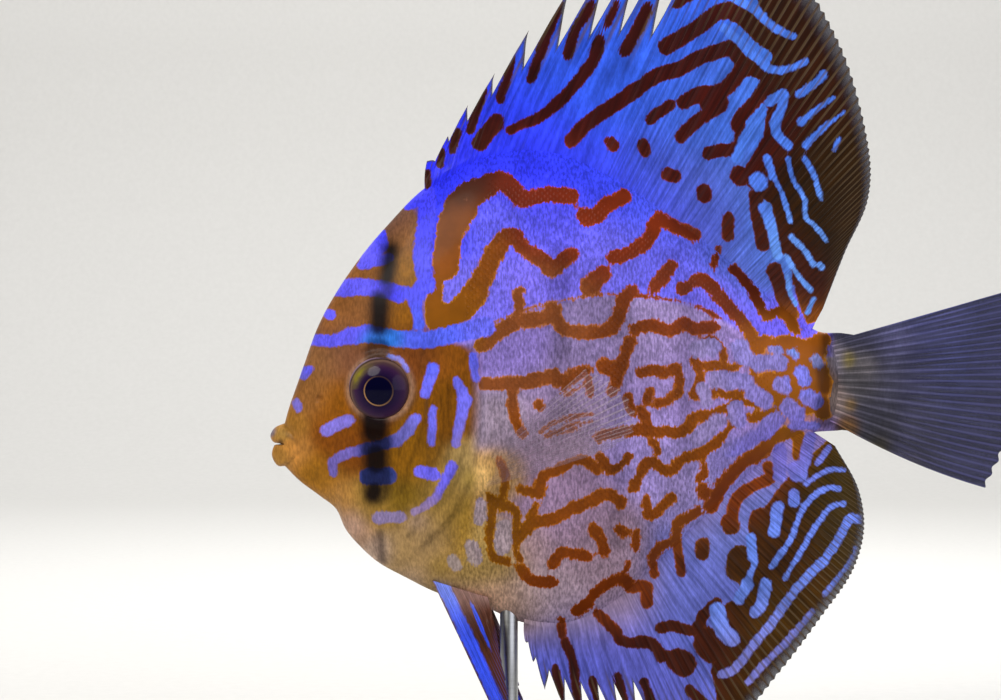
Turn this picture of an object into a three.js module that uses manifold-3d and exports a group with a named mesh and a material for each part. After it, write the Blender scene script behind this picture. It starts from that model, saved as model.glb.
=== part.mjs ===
// A life-size discus fish on a plain display stand, as a museum shows it.
// Millimetres, +Z up. The fish swims level towards -X, so its left side faces -Y.
// The origin is the middle of the underside of the stand's base.

import * as THREE from "three";
import { mergeVertices } from "three/addons/utils/BufferGeometryUtils.js";
import Module from "manifold-3d";

const wasm = await Module();
wasm.setup();

// Driving sizes of the whole piece
const JOINT_GAP = 0.3; // air kept between pieces that touch
const THINNEST = 0.56; // a fin's membrane
const CARVE = 3; // how far a cutting piece stands out of the skin
const SNOUT_X = -61;
const PEDUNCLE_END_X = 50.4;
const STATIONS = 34;
const RING_POINTS = 28;

// The body's outline and girth, as [x, value] from snout to tail
const BACK = [
  [-61, 75.4], [-60.2, 78.4], [-58.8, 82.4], [-57.2, 87], [-54.6, 94.2], [-51.4, 100.4], [-46.6, 107.6], [-41, 114.4],
  [-33, 122.4], [-20, 129.6], [-8, 130.4], [4, 125.6], [16, 117.6], [28, 108.4], [38, 99.6], [45, 94],
  [50.4, 93.4],
];
const BELLY = [
  [-61, 66.8], [-58, 63.8], [-53.7, 60.6], [-50.6, 58], [-49, 54.4], [-46.2, 51], [-42.4, 47.6],
  [-36.8, 44.5], [-30.4, 41.4], [-22, 39],
  [-14, 35.7], [-6, 34.6], [0, 36.2], [6, 39.8], [15, 48], [24, 57], [34.4, 67], [42, 72.8], [50.4, 74],
];
const HALF_WIDTH = [
  [-61, 3.4], [-57, 5.2], [-50, 7.9], [-40, 10.6], [-30, 12.2], [-20, 12.8], [-8, 12.8], [5, 11.4],
  [20, 8.8], [32, 6.4], [42, 4.4], [50.4, 3],
];
const SHARPNESS = [[-61, 0.5], [-45, 0.6], [-25, 0.7], [20, 0.72], [50.4, 0.55]]; // 0.5 is an ellipse

// Head
const EYE = { x: -41.4, z: 82.5, radius: 6.7, depth: 4.4, proud: 2.3 };
const NOSTRIL = { x: -53.6, z: 80.6, radius: 0.7, depth: 1.6 };
const UPPER_LIP = { corner: [-57.5, 3.5, 71.8], side: [-60.6, 2.9, 72.6], front: [-62.6, 0, 73.1], radius: 1.3 };
const LOWER_LIP = { corner: [-57.5, 3.5, 70.4], side: [-60, 3, 69.2], front: [-61.5, 0, 68.8], radius: 2 };
const MOUTH_SLIT = { x: -61.5, length: 6, z: 71.3, height: 0.6, width: 6.8 };

// The line behind the head, down the rear edge of the gill cover to the throat, as [x, z]
const GILL_LINE = [[-33.4, 124], [-30, 108], [-26.2, 94], [-22.2, 86.6], [-21.4, 79], [-22.4, 71],
  [-24.8, 63], [-28.2, 55.6], [-33, 49.4], [-37.4, 44]];
const GILL_FRONT = [[-31.6, 89.6], [-32.4, 80], [-32, 70], [-33, 60], [-36.6, 51.6]];
const GILL_REAR = [[-26.6, 92.4], [-22, 84], [-22.4, 71], [-27.6, 57.4], [-34.6, 49.8]];
const GILL_COVER = { thickness: 1.8, lift: 0.6, rows: 10, columns: 4 };
const TAIL_BASE_X = 43;

// Fins. A ray is [root x, root z, tip x, tip z].
const DORSAL_SPINES = [
  [-33, 122, -32.6, 127.8], [-31.8, 123.4, -28.4, 132.8], [-29.8, 125, -24.4, 139], [-27, 126.6, -19, 145.4],
  [-23.4, 128.4, -12.2, 154], [-19, 129.8, -4, 162.4], [-14, 130.4, 4.4, 168.8], [-8.6, 130.2, 11.6, 172.6],
  [-3.2, 128.8, 18, 174.6], [1.8, 126.4, 24, 175.2],
];
const DORSAL_SOFT_RAYS = [
  [1.8, 126.4, 24, 175.2], [12, 120, 39, 168.6], [22, 112.8, 49.6, 152], [30, 106.4, 55.2, 133],
  [35.6, 101.6, 55.8, 120.6], [40.4, 97.8, 51.2, 109.6], [44.4, 94.4, 46.6, 98.4],
];
const ANAL_SPINES = [
  [-13.2, 35.6, -13, 31.8], [-12.2, 35.2, -11.4, 27.6], [-10.8, 34.9, -9, 22], [-9, 34.7, -4.8, 17.8],
  [-6.6, 34.8, -0.8, 14.8], [-4, 35.2, 3.2, 13.2], [-1.2, 36.2, 7, 12.2], [1.4, 37.4, 10.8, 11.6],
  [4, 38.6, 14.4, 11.2],
];
const ANAL_SOFT_RAYS = [
  [4, 38.6, 14.4, 11.2], [11, 43.8, 27.6, 13.8], [18, 50.6, 38.2, 25.8], [25, 57.8, 46.4, 37],
  [31, 63.8, 52.4, 45.6], [35.8, 68.2, 55, 54], [40.4, 71.8, 53.8, 62.4], [44.4, 73.8, 49, 70.8],
];
const TAIL_RAYS = [
  [49.2, 92, 89.2, 103.4], [49.6, 88.4, 90.4, 94], [49.8, 84, 86, 83.6], [49.6, 79.6, 83.6, 72],
  [49.2, 75.2, 79.2, 62.4],
];
const PECTORAL_RAYS = [
  [-19.8, 69.6, -1.4, 86.4], [-18.8, 68.4, 5.2, 82.6], [-18.2, 66.8, 8.4, 76], [-18.4, 65.2, 4.2, 71.4],
  [-19, 63.8, -4.8, 68],
];
const PELVIC_RAYS = [
  [-30.4, 42, -16, 12], [-28.4, 41.4, -15.6, 15.2], [-26.4, 40.8, -16, 19.6], [-24.4, 40.2, -16.8, 24.8],
  [-22, 39.4, -18, 30.4], [-19.8, 38.6, -18.6, 34],
];
const RAY_COUNT = { dorsal: 26, anal: 26, tail: 15, pectoral: 10, pelvic: 7 };
const FIN_ROOT = { depth: 3, half: 1.3 };
const SPINE_TOOTH = [[0.45, 0.76], [0.78, 0.54]]; // the fin's edge from one spine's tip to the next, as [way, reach]
const SPINE_BOW = { share: 0.045, most: 1 }; // how far a spine arches forward, as a share of its length
const TAIL_BOW = 1.1; // how far the tail fin's lower edge bows out
const PECTORAL_KNOB = { x: -20.2, z: 66.2, radii: [3.2, 1.9, 4] };
const PECTORAL_FLARE = 0.24; // outward for each millimetre of fin
const PELVIC_Y = { root: 2.8, spread: 5.4 };

// Stand
const BASE = { length: 84, width: 60, thickness: 6, corner: 9, bevel: 0.8 };
const ROD = { x: -16.2, radius: 1.8, foot_radius: 5.4, foot_height: 3.4, top_z: 44 };

// The value at x of a smooth line through [x, value] points.
function along(line, x) {
  const last = line.length - 1;
  let i = 0;
  while (i < last - 1 && x > line[i + 1][0]) i += 1;
  const slope = (k) => {
    const a = line[Math.max(k - 1, 0)];
    const b = line[Math.min(k + 1, last)];
    return (b[1] - a[1]) / (b[0] - a[0]);
  };
  const step = line[i + 1][0] - line[i][0];
  const t = (x - line[i][0]) / step;
  const rise = line[i + 1][1] - line[i][1];
  const bend = slope(i) * step - rise;
  const unbend = rise - slope(i + 1) * step;
  return line[i][1] + t * rise + t * (1 - t) * ((1 - t) * bend + t * unbend);
}

// How far the flank stands from the middle plane at a point of the side view.
function flank(x, z) {
  const top = along(BACK, x);
  const bottom = along(BELLY, x);
  const level = (2 * z - top - bottom) / (top - bottom);
  return Math.abs(level) < 1 ? along(HALF_WIDTH, x) * (1 - level * level) ** along(SHARPNESS, x) : 0;
}

// A closed geometry from its corners and triangles.
function geometryOf(corners, triangles) {
  return new THREE.BufferGeometry()
    .setAttribute("position", new THREE.BufferAttribute(new Float32Array(corners.flat()), 3))
    .setIndex(triangles.flat());
}

// A three.js geometry as a manifold-3d solid, its faces turned outward.
function solid(geometry) {
  const bare = geometry.clone();
  bare.deleteAttribute("normal");
  bare.deleteAttribute("uv");
  const merged = mergeVertices(bare, 1e-3);
  const vertProperties = new Float32Array(merged.attributes.position.array);
  const triVerts = new Uint32Array(merged.index.array);
  const made = new wasm.Manifold(new wasm.Mesh({ numProp: 3, vertProperties, triVerts }));
  if (made.volume() > 0) return made;
  return new wasm.Manifold(new wasm.Mesh({ numProp: 3, vertProperties, triVerts: triVerts.toReversed() }));
}

// The largest closed surface of a solid.
function largest(made) {
  const bodies = made.decompose();
  return bodies.reduce((a, b) => (b.volume() > a.volume() ? b : a));
}

// A solid as a named mesh of its own colour.
function piece(name, made, color, roughness) {
  const mesh = largest(made).getMesh();
  const corners = [];
  for (let i = 0; i < mesh.numVert; i += 1) {
    const at = i * mesh.numProp;
    corners.push([...mesh.vertProperties.slice(at, at + 3)]);
  }
  const result = new THREE.Mesh(
    geometryOf(corners, [[...mesh.triVerts]]),
    new THREE.MeshStandardMaterial({ color, roughness, metalness: 0 }),
  );
  result.name = name;
  return result;
}

// The trunk of the fish from snout to tail base, grown outward by a margin.
function trunk(grow) {
  const corners = [];
  const triangles = [];
  const length = PEDUNCLE_END_X - SNOUT_X;
  for (let i = 0; i <= STATIONS; i += 1) {
    const x = SNOUT_X + length * (i / STATIONS) ** 1.25;
    const placed = x + (i === 0 ? -grow : 0) + (i === STATIONS ? grow : 0);
    const top = along(BACK, x) + grow;
    const bottom = along(BELLY, x) - grow;
    for (let j = 0; j < RING_POINTS; j += 1) {
      const turn = (2 * Math.PI * j) / RING_POINTS;
      const out = Math.abs(Math.cos(turn)) < 1e-9 ? 0 : Math.abs(Math.cos(turn)) ** (2 * along(SHARPNESS, x));
      const y = Math.sign(Math.cos(turn)) * out * (along(HALF_WIDTH, x) + grow);
      corners.push([placed, y, (top + bottom) / 2 + (Math.sin(turn) * (top - bottom)) / 2]);
      if (i < STATIONS) {
        const a = i * RING_POINTS + j;
        const b = i * RING_POINTS + ((j + 1) % RING_POINTS);
        triangles.push([a, b, a + RING_POINTS], [b, b + RING_POINTS, a + RING_POINTS]);
      }
    }
  }
  const rearRing = STATIONS * RING_POINTS;
  const snout = corners.push([SNOUT_X - grow, 0, (along(BACK, SNOUT_X) + along(BELLY, SNOUT_X)) / 2]) - 1;
  const tail =
    corners.push([PEDUNCLE_END_X + grow, 0, (along(BACK, PEDUNCLE_END_X) + along(BELLY, PEDUNCLE_END_X)) / 2]) - 1;
  for (let j = 0; j < RING_POINTS; j += 1) {
    const next = (j + 1) % RING_POINTS;
    triangles.push([snout, next, j], [tail, rearRing + j, rearRing + next]);
  }
  return solid(geometryOf(corners, triangles));
}

// A wall that takes all in front of a line of the side view, moved back by a margin.
function inFrontOf(line, shift) {
  const outline = new THREE.Shape();
  outline.moveTo(-90, 150);
  line.forEach(([x, z]) => outline.lineTo(x + shift, z));
  outline.lineTo(-90, 20);
  const wall = new THREE.ExtrudeGeometry(outline, { depth: 60, bevelEnabled: false, steps: 1 });
  wall.rotateX(Math.PI / 2);
  wall.translate(0, 30, 0);
  return solid(wall);
}

// The gill cover as a curved plate on one side, grown outward by a margin.
function gillCover(side, grow) {
  const front = new THREE.SplineCurve(GILL_FRONT.map(([x, z]) => new THREE.Vector2(x, z)));
  const rear = new THREE.SplineCurve(GILL_REAR.map(([x, z]) => new THREE.Vector2(x, z)));
  const { rows, columns, lift, thickness } = GILL_COVER;
  const faces = [[], []];
  for (let i = 0; i <= rows; i += 1) {
    const a = front.getPoint(i / rows);
    const b = rear.getPoint(i / rows);
    const rise = i === 0 ? grow : i === rows ? -grow : 0;
    for (let j = 0; j <= columns; j += 1) {
      const share = j / columns;
      const spread = (share * 2 - 1) * grow;
      const x = a.x + (b.x - a.x) * share + spread;
      const z = a.y + (b.y - a.y) * share + rise;
      const out = flank(x, z);
      faces[0].push([x, side * (out + lift * share + (grow ? CARVE : 0)), z]);
      faces[1].push([x, side * (out - thickness - grow), z]);
    }
  }
  return solid(sheet(faces, rows + 1, columns + 1, side < 0));
}

// Closes two like grids of points, one for each face, with triangles alike on both.
function sheet([near, far], rows, columns, flip) {
  const triangles = [];
  const count = rows * columns;
  const add = (a, b, c) => triangles.push(flip ? [a, c, b] : [a, b, c]);
  const quad = (a, b, c, d) => {
    add(a, b, c);
    add(a, c, d);
  };
  for (let i = 0; i + 1 < rows; i += 1) {
    for (let j = 0; j + 1 < columns; j += 1) {
      const a = i * columns + j;
      const [b, c, d] = [a + 1, a + columns + 1, a + columns];
      quad(a, b, c, d);
      add(count + a, count + c, count + b);
      add(count + a, count + d, count + c);
    }
    const left = i * columns;
    const right = left + columns - 1;
    quad(left, left + columns, count + left + columns, count + left);
    quad(right + columns, right, count + right, count + right + columns);
  }
  for (let j = 0; j + 1 < columns; j += 1) {
    const end = (rows - 1) * columns + j;
    quad(j + 1, j, count + j, count + j + 1);
    quad(end, end + 1, count + end + 1, count + end);
  }
  return geometryOf([...near, ...far], triangles);
}

// The columns of a fin with a ridge on each ray and a shallow dip in its edge between them.
function evenColumns(count, last, dip) {
  return Array.from({ length: 2 * count - 1 }, (_, j) => ({
    at: (last * j) / (2 * count - 2), reach: j % 2 ? dip : 1, raised: j % 2 === 0,
  }));
}

// The columns of a fin with a toothed edge, up to just short of the next fin's first ray.
function toothedColumns(spines) {
  const columns = [];
  for (let i = 0; i < spines.length - 1; i += 1) {
    columns.push({ at: i, reach: 1, raised: true });
    SPINE_TOOTH.forEach(([way, reach]) => columns.push({ at: i + way, reach, raised: false }));
  }
  return columns;
}

// A fin: a sheet through its rays, each ray a ridge on both faces.
// A column's place counts along the list of rays, and its reach is a share of the ray there.
// sway gives the middle's y from x, the share of the ray and the place. bow bends a ray by [x, z] at its middle.
function fin({ rays, columns, rows, root, ridge, sway, bow = () => [0, 0] }) {
  const line = (i, k) => new THREE.CatmullRomCurve3(
    rays.map((ray) => new THREE.Vector3(ray[i], 0, ray[k])), false, "catmullrom", 0.5);
  const [rootsLine, tipsLine] = [line(0, 1), line(2, 3)];
  const faces = [[], []];
  for (let i = 0; i < rows; i += 1) {
    columns.forEach(({ at, reach, raised }) => {
      const share = at / (rays.length - 1);
      const start = rootsLine.getPoint(share);
      const whole = tipsLine.getPoint(share).sub(start);
      const sunk = root.depth / Math.max(whole.length(), root.depth);
      const t = -sunk + (i / (rows - 1)) * (reach + sunk);
      const out = Math.max(t, 0);
      const point = start.addScaledVector(whole, t);
      const [bowX, bowZ] = bow(share, whole.length());
      point.x += bowX * 4 * out * (1 - out);
      point.z += bowZ * 4 * out * (1 - out);
      const web = root.half + (THINNEST / 2 - root.half) * Math.min(1, out * 3) ** 0.7;
      const half = web + (raised ? ridge * (1 - 0.75 * out) : 0);
      const middle = sway(point.x, out, share);
      faces[0].push([point.x, middle - half, point.z]);
      faces[1].push([point.x, middle + half, point.z]);
    });
  }
  return solid(sheet(faces, rows, columns.length, false));
}

function eyeball(side, grow) {
  const ball = new THREE.SphereGeometry(1, 20, 12);
  ball.rotateX(Math.PI / 2);
  ball.scale(EYE.radius + grow, EYE.depth + grow, EYE.radius + grow);
  ball.translate(EYE.x, side * (flank(EYE.x, EYE.z) + EYE.proud - EYE.depth), EYE.z);
  return solid(ball);
}

function lip({ corner, side, front, radius }) {
  const mirrored = ([x, y, z]) => new THREE.Vector3(x, -y, z);
  const path = new THREE.CatmullRomCurve3([
    new THREE.Vector3(...corner), new THREE.Vector3(...side), new THREE.Vector3(...front),
    mirrored(side), mirrored(corner),
  ]);
  const section = new THREE.Shape().absarc(0, 0, radius, 0, 2 * Math.PI);
  return solid(new THREE.ExtrudeGeometry(section, {
    extrudePath: path, steps: 12, curveSegments: 5, bevelEnabled: false,
  }));
}

function mouthSlit() {
  const { x, length, z, height, width } = MOUTH_SLIT;
  return solid(new THREE.BoxGeometry(length, width, height).translate(x, 0, z));
}

function nostril(side) {
  const { x, z, radius, depth } = NOSTRIL;
  const pit = new THREE.CylinderGeometry(radius, radius, 2 * depth, 10);
  return solid(pit.translate(x, side * flank(x, z), z));
}

function baseSolid() {
  const { length, width, thickness, corner, bevel } = BASE;
  const [a, b, r] = [length / 2 - bevel, width / 2 - bevel, corner - bevel];
  const outline = new THREE.Shape();
  [[1, 1, 0], [-1, 1, 1], [-1, -1, 2], [1, -1, 3]].forEach(([sx, sy, quarter]) => {
    const turn = (quarter * Math.PI) / 2;
    outline.absarc(sx * (a - r), sy * (b - r), r, turn, turn + Math.PI / 2);
  });
  outline.closePath();
  const block = new THREE.ExtrudeGeometry(outline, {
    depth: thickness - 2 * bevel, bevelThickness: bevel, bevelSize: bevel, bevelSegments: 2, curveSegments: 6,
  });
  return solid(block.translate(0, 0, bevel));
}

function rodSolid() {
  const { x, radius, foot_radius, foot_height, top_z } = ROD;
  const low = BASE.thickness + JOINT_GAP;
  const profile = [[0, low], [foot_radius, low], [foot_radius, low + 0.8], [foot_radius * 0.72, low + 1.5],
    [radius * 1.25, low + foot_height * 0.75], [radius, low + foot_height], [radius, top_z], [0, top_z]];
  const turned = new THREE.LatheGeometry(profile.map(([r, h]) => new THREE.Vector2(r, h)), 20);
  turned.rotateX(Math.PI / 2);
  return solid(turned.translate(x, 0, 0));
}

// The trunk is modelled whole and parted with thin cuts
const whole = trunk(0);
const clearOfTrunk = trunk(JOINT_GAP);
const headWall = inFrontOf(GILL_LINE, -JOINT_GAP / 2);
const torsoWall = inFrontOf(GILL_LINE, JOINT_GAP / 2);
const tailLine = [[TAIL_BASE_X, 150], [TAIL_BASE_X, 20]];
const beforeTail = inFrontOf(tailLine, -JOINT_GAP / 2);
const upToTail = inFrontOf(tailLine, JOINT_GAP / 2);

let head = whole.intersect(headWall).add(lip(UPPER_LIP)).add(lip(LOWER_LIP)).subtract(mouthSlit());
let torso = whole.intersect(beforeTail).subtract(torsoWall);
[-1, 1].forEach((side) => {
  const room = gillCover(side, JOINT_GAP);
  head = head.subtract(room).subtract(eyeball(side, JOINT_GAP)).subtract(nostril(side));
  torso = torso.subtract(room);
});

// Fins
const still = () => 0;
const wave = (x, out, share) => 1.3 * out * out * Math.sin(share * 9 + 0.6) * Math.min(1, share * 6);

function spinyFin(spines) {
  return fin({
    rays: spines, columns: toothedColumns(spines), rows: 7, root: FIN_ROOT, ridge: 0.34, sway: still,
    bow: (share, length) => [-Math.min(SPINE_BOW.most, SPINE_BOW.share * length) * Math.min(1, 10 - 10 * share), 0],
  }).subtract(clearOfTrunk);
}

function softFin(rays, count) {
  return fin({
    rays, columns: evenColumns(count, rays.length - 1, 0.98), rows: 8, root: FIN_ROOT, ridge: 0.26, sway: wave,
  }).subtract(clearOfTrunk);
}

const tailFin = fin({
  rays: TAIL_RAYS, columns: evenColumns(RAY_COUNT.tail, TAIL_RAYS.length - 1, 0.98), rows: 8,
  root: { depth: 4, half: 1.4 }, ridge: 0.3, sway: (x, out) => 0.8 * out * out,
  bow: (share) => [0, -TAIL_BOW * Math.max(0, 2 * share - 1)],
}).subtract(clearOfTrunk);

function pectoral(side) {
  const start = flank(PECTORAL_KNOB.x, PECTORAL_KNOB.z);
  const blade = fin({
    rays: PECTORAL_RAYS, columns: evenColumns(RAY_COUNT.pectoral, PECTORAL_RAYS.length - 1, 0.97), rows: 6,
    root: { depth: 2, half: 0.9 }, ridge: 0.22,
    sway: (x) => side * (start + 0.4 + PECTORAL_FLARE * (x - PECTORAL_KNOB.x)),
  });
  const knob = new THREE.SphereGeometry(1, 12, 8);
  knob.scale(...PECTORAL_KNOB.radii);
  knob.translate(PECTORAL_KNOB.x, side * (start + 0.2), PECTORAL_KNOB.z);
  return blade.add(solid(knob)).subtract(clearOfTrunk).subtract(gillCover(side, JOINT_GAP));
}

function pelvic(side) {
  const swing = side < 0 ? 0 : 0.12; // the far fin trails a little
  return fin({
    rays: PELVIC_RAYS.map(([rx, rz, tx, tz]) => [rx, rz, tx + swing * (rz - tz), tz]),
    columns: evenColumns(RAY_COUNT.pelvic, PELVIC_RAYS.length - 1, 0.96), rows: 7,
    root: { depth: 2.4, half: 0.9 }, ridge: 0.26,
    sway: (x, out) => side * (PELVIC_Y.root + PELVIC_Y.spread * out),
  }).subtract(clearOfTrunk);
}

const fish = new THREE.Group();
fish.add(
  piece("head", head, 0xa8702c, 0.45),
  piece("torso", torso, 0x6f6fd8, 0.45),
  piece("tail_base", whole.subtract(upToTail), 0x8a5a3a, 0.45),
  piece("dorsal_fin_spines", spinyFin(DORSAL_SPINES), 0x3b5be0, 0.4),
  piece("dorsal_fin_soft", softFin(DORSAL_SOFT_RAYS, RAY_COUNT.dorsal), 0x3f63dc, 0.4),
  piece("anal_fin_spines", spinyFin(ANAL_SPINES), 0x6f7ee6, 0.4),
  piece("anal_fin_soft", softFin(ANAL_SOFT_RAYS, RAY_COUNT.anal), 0x5a55b0, 0.4),
  piece("tail_fin", tailFin, 0x4a4a78, 0.4),
);
[["left", -1], ["right", 1]].forEach(([name, side]) => {
  fish.add(
    piece(`eye_${name}`, eyeball(side, 0), 0x14121c, 0.1),
    piece(`gill_cover_${name}`, gillCover(side, 0), 0xb07a28, 0.4),
    piece(`pectoral_fin_${name}`, pectoral(side), 0xb89a80, 0.4),
    piece(`pelvic_fin_${name}`, pelvic(side), 0x4464f0, 0.4),
  );
});
fish.add(
  piece("stand_base", baseSolid(), 0x2a2826, 0.5),
  piece("stand_rod", rodSolid().subtract(clearOfTrunk), 0xb8b8ba, 0.3),
);

export default fish;
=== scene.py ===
import math

import bpy
import numpy as np
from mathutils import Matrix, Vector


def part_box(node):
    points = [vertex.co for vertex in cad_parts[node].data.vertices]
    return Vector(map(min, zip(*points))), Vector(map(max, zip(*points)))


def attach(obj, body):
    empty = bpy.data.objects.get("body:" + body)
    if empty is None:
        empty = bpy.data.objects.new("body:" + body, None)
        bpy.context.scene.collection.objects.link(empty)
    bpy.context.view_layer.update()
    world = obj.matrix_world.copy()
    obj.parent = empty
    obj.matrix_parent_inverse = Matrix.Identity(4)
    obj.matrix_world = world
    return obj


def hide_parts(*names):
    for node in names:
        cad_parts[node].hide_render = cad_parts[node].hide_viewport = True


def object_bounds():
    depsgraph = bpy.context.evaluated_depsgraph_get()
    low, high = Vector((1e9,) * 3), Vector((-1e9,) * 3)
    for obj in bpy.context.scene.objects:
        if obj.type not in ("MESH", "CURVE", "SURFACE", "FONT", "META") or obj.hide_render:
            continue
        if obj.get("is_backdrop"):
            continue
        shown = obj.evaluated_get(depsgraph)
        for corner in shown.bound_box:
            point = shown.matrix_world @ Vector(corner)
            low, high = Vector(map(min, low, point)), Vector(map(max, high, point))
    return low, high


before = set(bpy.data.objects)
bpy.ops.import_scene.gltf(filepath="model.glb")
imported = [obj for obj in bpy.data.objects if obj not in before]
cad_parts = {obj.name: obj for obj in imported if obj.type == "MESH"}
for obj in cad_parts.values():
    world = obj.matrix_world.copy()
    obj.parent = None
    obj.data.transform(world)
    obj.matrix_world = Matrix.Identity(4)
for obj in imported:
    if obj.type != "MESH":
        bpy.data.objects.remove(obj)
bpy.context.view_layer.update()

# The view of the model
# A still, life-size model of a discus, a tall flat river fish, held on a plain stand.
# It is seen square from its left side, half a metre away, as in the photograph.
PICTURE = (1001, 700)
MM_PER_PIXEL = 0.2
VIEW_DISTANCE = 500.0
VIEW_CENTRE = (-17.9, 90.0)
view = bpy.data.cameras.new("side_view")
view.sensor_width = 36.0
view.lens = 36.0 * VIEW_DISTANCE / (PICTURE[0] * MM_PER_PIXEL)
view.clip_start = 0.01
view.clip_end = 20.0
view_stand = bpy.data.objects.new("side_view", view)
view_stand.location = (VIEW_CENTRE[0] / 1000, -VIEW_DISTANCE / 1000, VIEW_CENTRE[1] / 1000)
view_stand.rotation_euler = (math.pi / 2, 0, 0)
bpy.context.scene.collection.objects.link(view_stand)
bpy.context.scene.camera = view_stand
bpy.context.scene.view_settings.view_transform = "Standard"

# Body skin
# The trunk and head are one moulded skin: a disc with keeled back and belly, steep forehead and small lips.
# All sizes are in millimetres along the fish; the mesh is laid in metres.
BACK = [(-61, 75.4), (-60.2, 78.4), (-58.8, 82.4), (-57.2, 87), (-54.6, 94.2), (-51.4, 100.4),
        (-46.6, 107.6), (-41, 114.4), (-33, 122.4), (-20, 129.6), (-8, 130.4), (4, 125.6), (16, 117.6),
        (28, 108.4), (38, 99.6), (45, 94), (50.4, 93.4)]
BELLY = [(-61, 66.8), (-58, 63.8), (-53.7, 60.6), (-50.6, 58), (-49, 54.4), (-46.2, 51), (-42.4, 47.6),
         (-36.8, 44.5), (-30.4, 41.4), (-22, 39), (-14, 35.7), (-6, 34.6), (0, 36.2), (6, 39.8), (15, 48),
         (24, 57), (34.4, 67), (42, 72.8), (50.4, 74)]
HALF_WIDTH = [(-61, 3.4), (-57, 5.2), (-50, 7.9), (-40, 10.6), (-30, 12.2), (-20, 12.8), (-8, 12.8),
              (5, 11.4), (20, 8.8), (32, 6.4), (42, 4.4), (50.4, 3)]
KEEL = [(-61, 0.5), (-45, 0.6), (-25, 0.7), (20, 0.72), (50.4, 0.55)]
GILL_EDGE = [(46, -38.2), (49.8, -34.6), (57.4, -27.6), (64, -24.2), (71, -22.4), (78, -21.6), (84, -22),
             (89, -24), (92.4, -26.6), (97, -29)]
CHEEK_EDGE = [(51.6, -36.6), (60, -33), (70, -32), (80, -32.4), (89.6, -31.6)]
EYE_AT = (-41.4, 82.5)
EYE_RADIUS = 6.7
NOSTRIL_AT = (-53.6, 80.6)
PECTORAL_AT = (-20.2, 65.6)


def along(line, where):
    """The height of a smooth line drawn through its listed points."""
    spots, heights = np.array(line, float).T
    last = len(spots) - 1
    order = np.arange(last + 1)
    before = np.maximum(order - 1, 0)
    after = np.minimum(order + 1, last)
    slope = (heights[after] - heights[before]) / (spots[after] - spots[before])
    i = np.clip(np.searchsorted(spots, where) - 1, 0, last - 1)
    step = spots[i + 1] - spots[i]
    t = np.clip((where - spots[i]) / step, 0, 1)
    rise = heights[i + 1] - heights[i]
    bend = slope[i] * step - rise
    unbend = rise - slope[i + 1] * step
    return heights[i] + t * rise + t * (1 - t) * ((1 - t) * bend + t * unbend)


def eased(value, low, high):
    """0 below low and 1 above high, with a soft start and stop."""
    t = np.clip((value - low) / (high - low), 0, 1)
    return t * t * (3 - 2 * t)


def flank(x, z):
    """Half the plain body's thickness at a place seen from the side."""
    top = along(BACK, x)
    low = along(BELLY, x)
    level = (2 * z - top - low) / (top - low)
    thinner = 1 - 0.9 * eased(x, 44.5, 53)
    return along(HALF_WIDTH, x) * thinner * np.clip(1 - level ** 2, 0, 1) ** along(KEEL, x)


GILL_RISE = 0.78
CHEEK_RISE = 0.3
EYE_RIM_RISE = 0.42
SOCKET_DEPTH = 2.4
NOSTRIL_DEPTH = 0.85
KNOB_RISE = 1.5


def relief(x, z):
    """How far gill cover, cheek, eye rim, nostril and fin base stand out of the plain flank."""
    behind = x - along(GILL_EDGE, z)
    shut = eased(z, 46, 54) * (1 - eased(z, 89, 96))
    over = 1 / (1 + np.exp(np.clip(behind / 0.16, -40, 40)))
    plate = over * GILL_RISE * np.exp(np.minimum(behind, 0) / 3.4)
    groove = (1 - over) * -0.5 * np.exp(-np.maximum(behind, 0) / 1.1)
    cheek = x - along(CHEEK_EDGE, z)
    held = eased(z, 50, 56) * (1 - eased(z, 86, 91))
    ridge = CHEEK_RISE * np.exp(-((cheek + 0.9) / 1.3) ** 2) - 0.4 * np.exp(-((cheek - 0.6) / 0.6) ** 2)
    inner = 0.16 * np.exp(-((cheek + 4.2) / 0.8) ** 2) - 0.14 * np.exp(-((cheek + 5.6) / 0.7) ** 2)
    ring = np.hypot(x - EYE_AT[0], z - EYE_AT[1])
    rim = EYE_RIM_RISE * np.exp(-((ring - 6.45) / 0.62) ** 2) - 0.2 * np.exp(-((ring - 8) / 0.8) ** 2)
    socket = -SOCKET_DEPTH * (1 - eased(ring, 4.6, 6.0))
    hole = np.hypot(x - NOSTRIL_AT[0], z - NOSTRIL_AT[1])
    nostril = 0.18 * np.exp(-((hole - 1.1) / 0.4) ** 2) - NOSTRIL_DEPTH * np.exp(-(hole / 0.62) ** 2)
    knob = np.hypot((x - PECTORAL_AT[0]) / 3.3, (z - PECTORAL_AT[1]) / 4.4)
    fin_base = KNOB_RISE * np.exp(-knob ** 4)
    return (plate + groove) * shut + (ridge + inner) * held + rim + socket + nostril + fin_base


RING_STEPS = 380
LIP_KEYS = [(-58.5, 71.9, -58.5, 70.6, -58.6, 2.3), (-62.4, 71.45, -62.2, 71.05, -60.4, 2.9),
            (-63.5, 71.8, -63.2, 70.8, -60.9, 3.2), (-63.9, 73.0, -63.6, 68.8, -60.5, 3.7),
            (-63.0, 74.5, -62.5, 66.9, -59.2, 4.3)]
SNOUT_PULL = 3.4
MOUTH_POINT = [-62.2, 0, 71.25]
fine = np.arange(-61, -20, 0.45)
coarse = np.arange(-20, 50.4, 0.74)
stations = np.concatenate([fine, coarse, [50.4, 51, 51.6, 52.2, 52.7, 53]])
held_x = np.minimum(stations, 50.4)
pull = SNOUT_PULL * np.exp(-(stations + 61) / 6)
tops = along(BACK, held_x) - 0.15 * (stations - held_x)
lows = along(BELLY, held_x) - 0.1 * (stations - held_x)
trunk_keys = np.stack([stations, tops, stations, lows, stations + pull, np.zeros(len(stations))], 1)
first = trunk_keys[0].copy()
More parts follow.
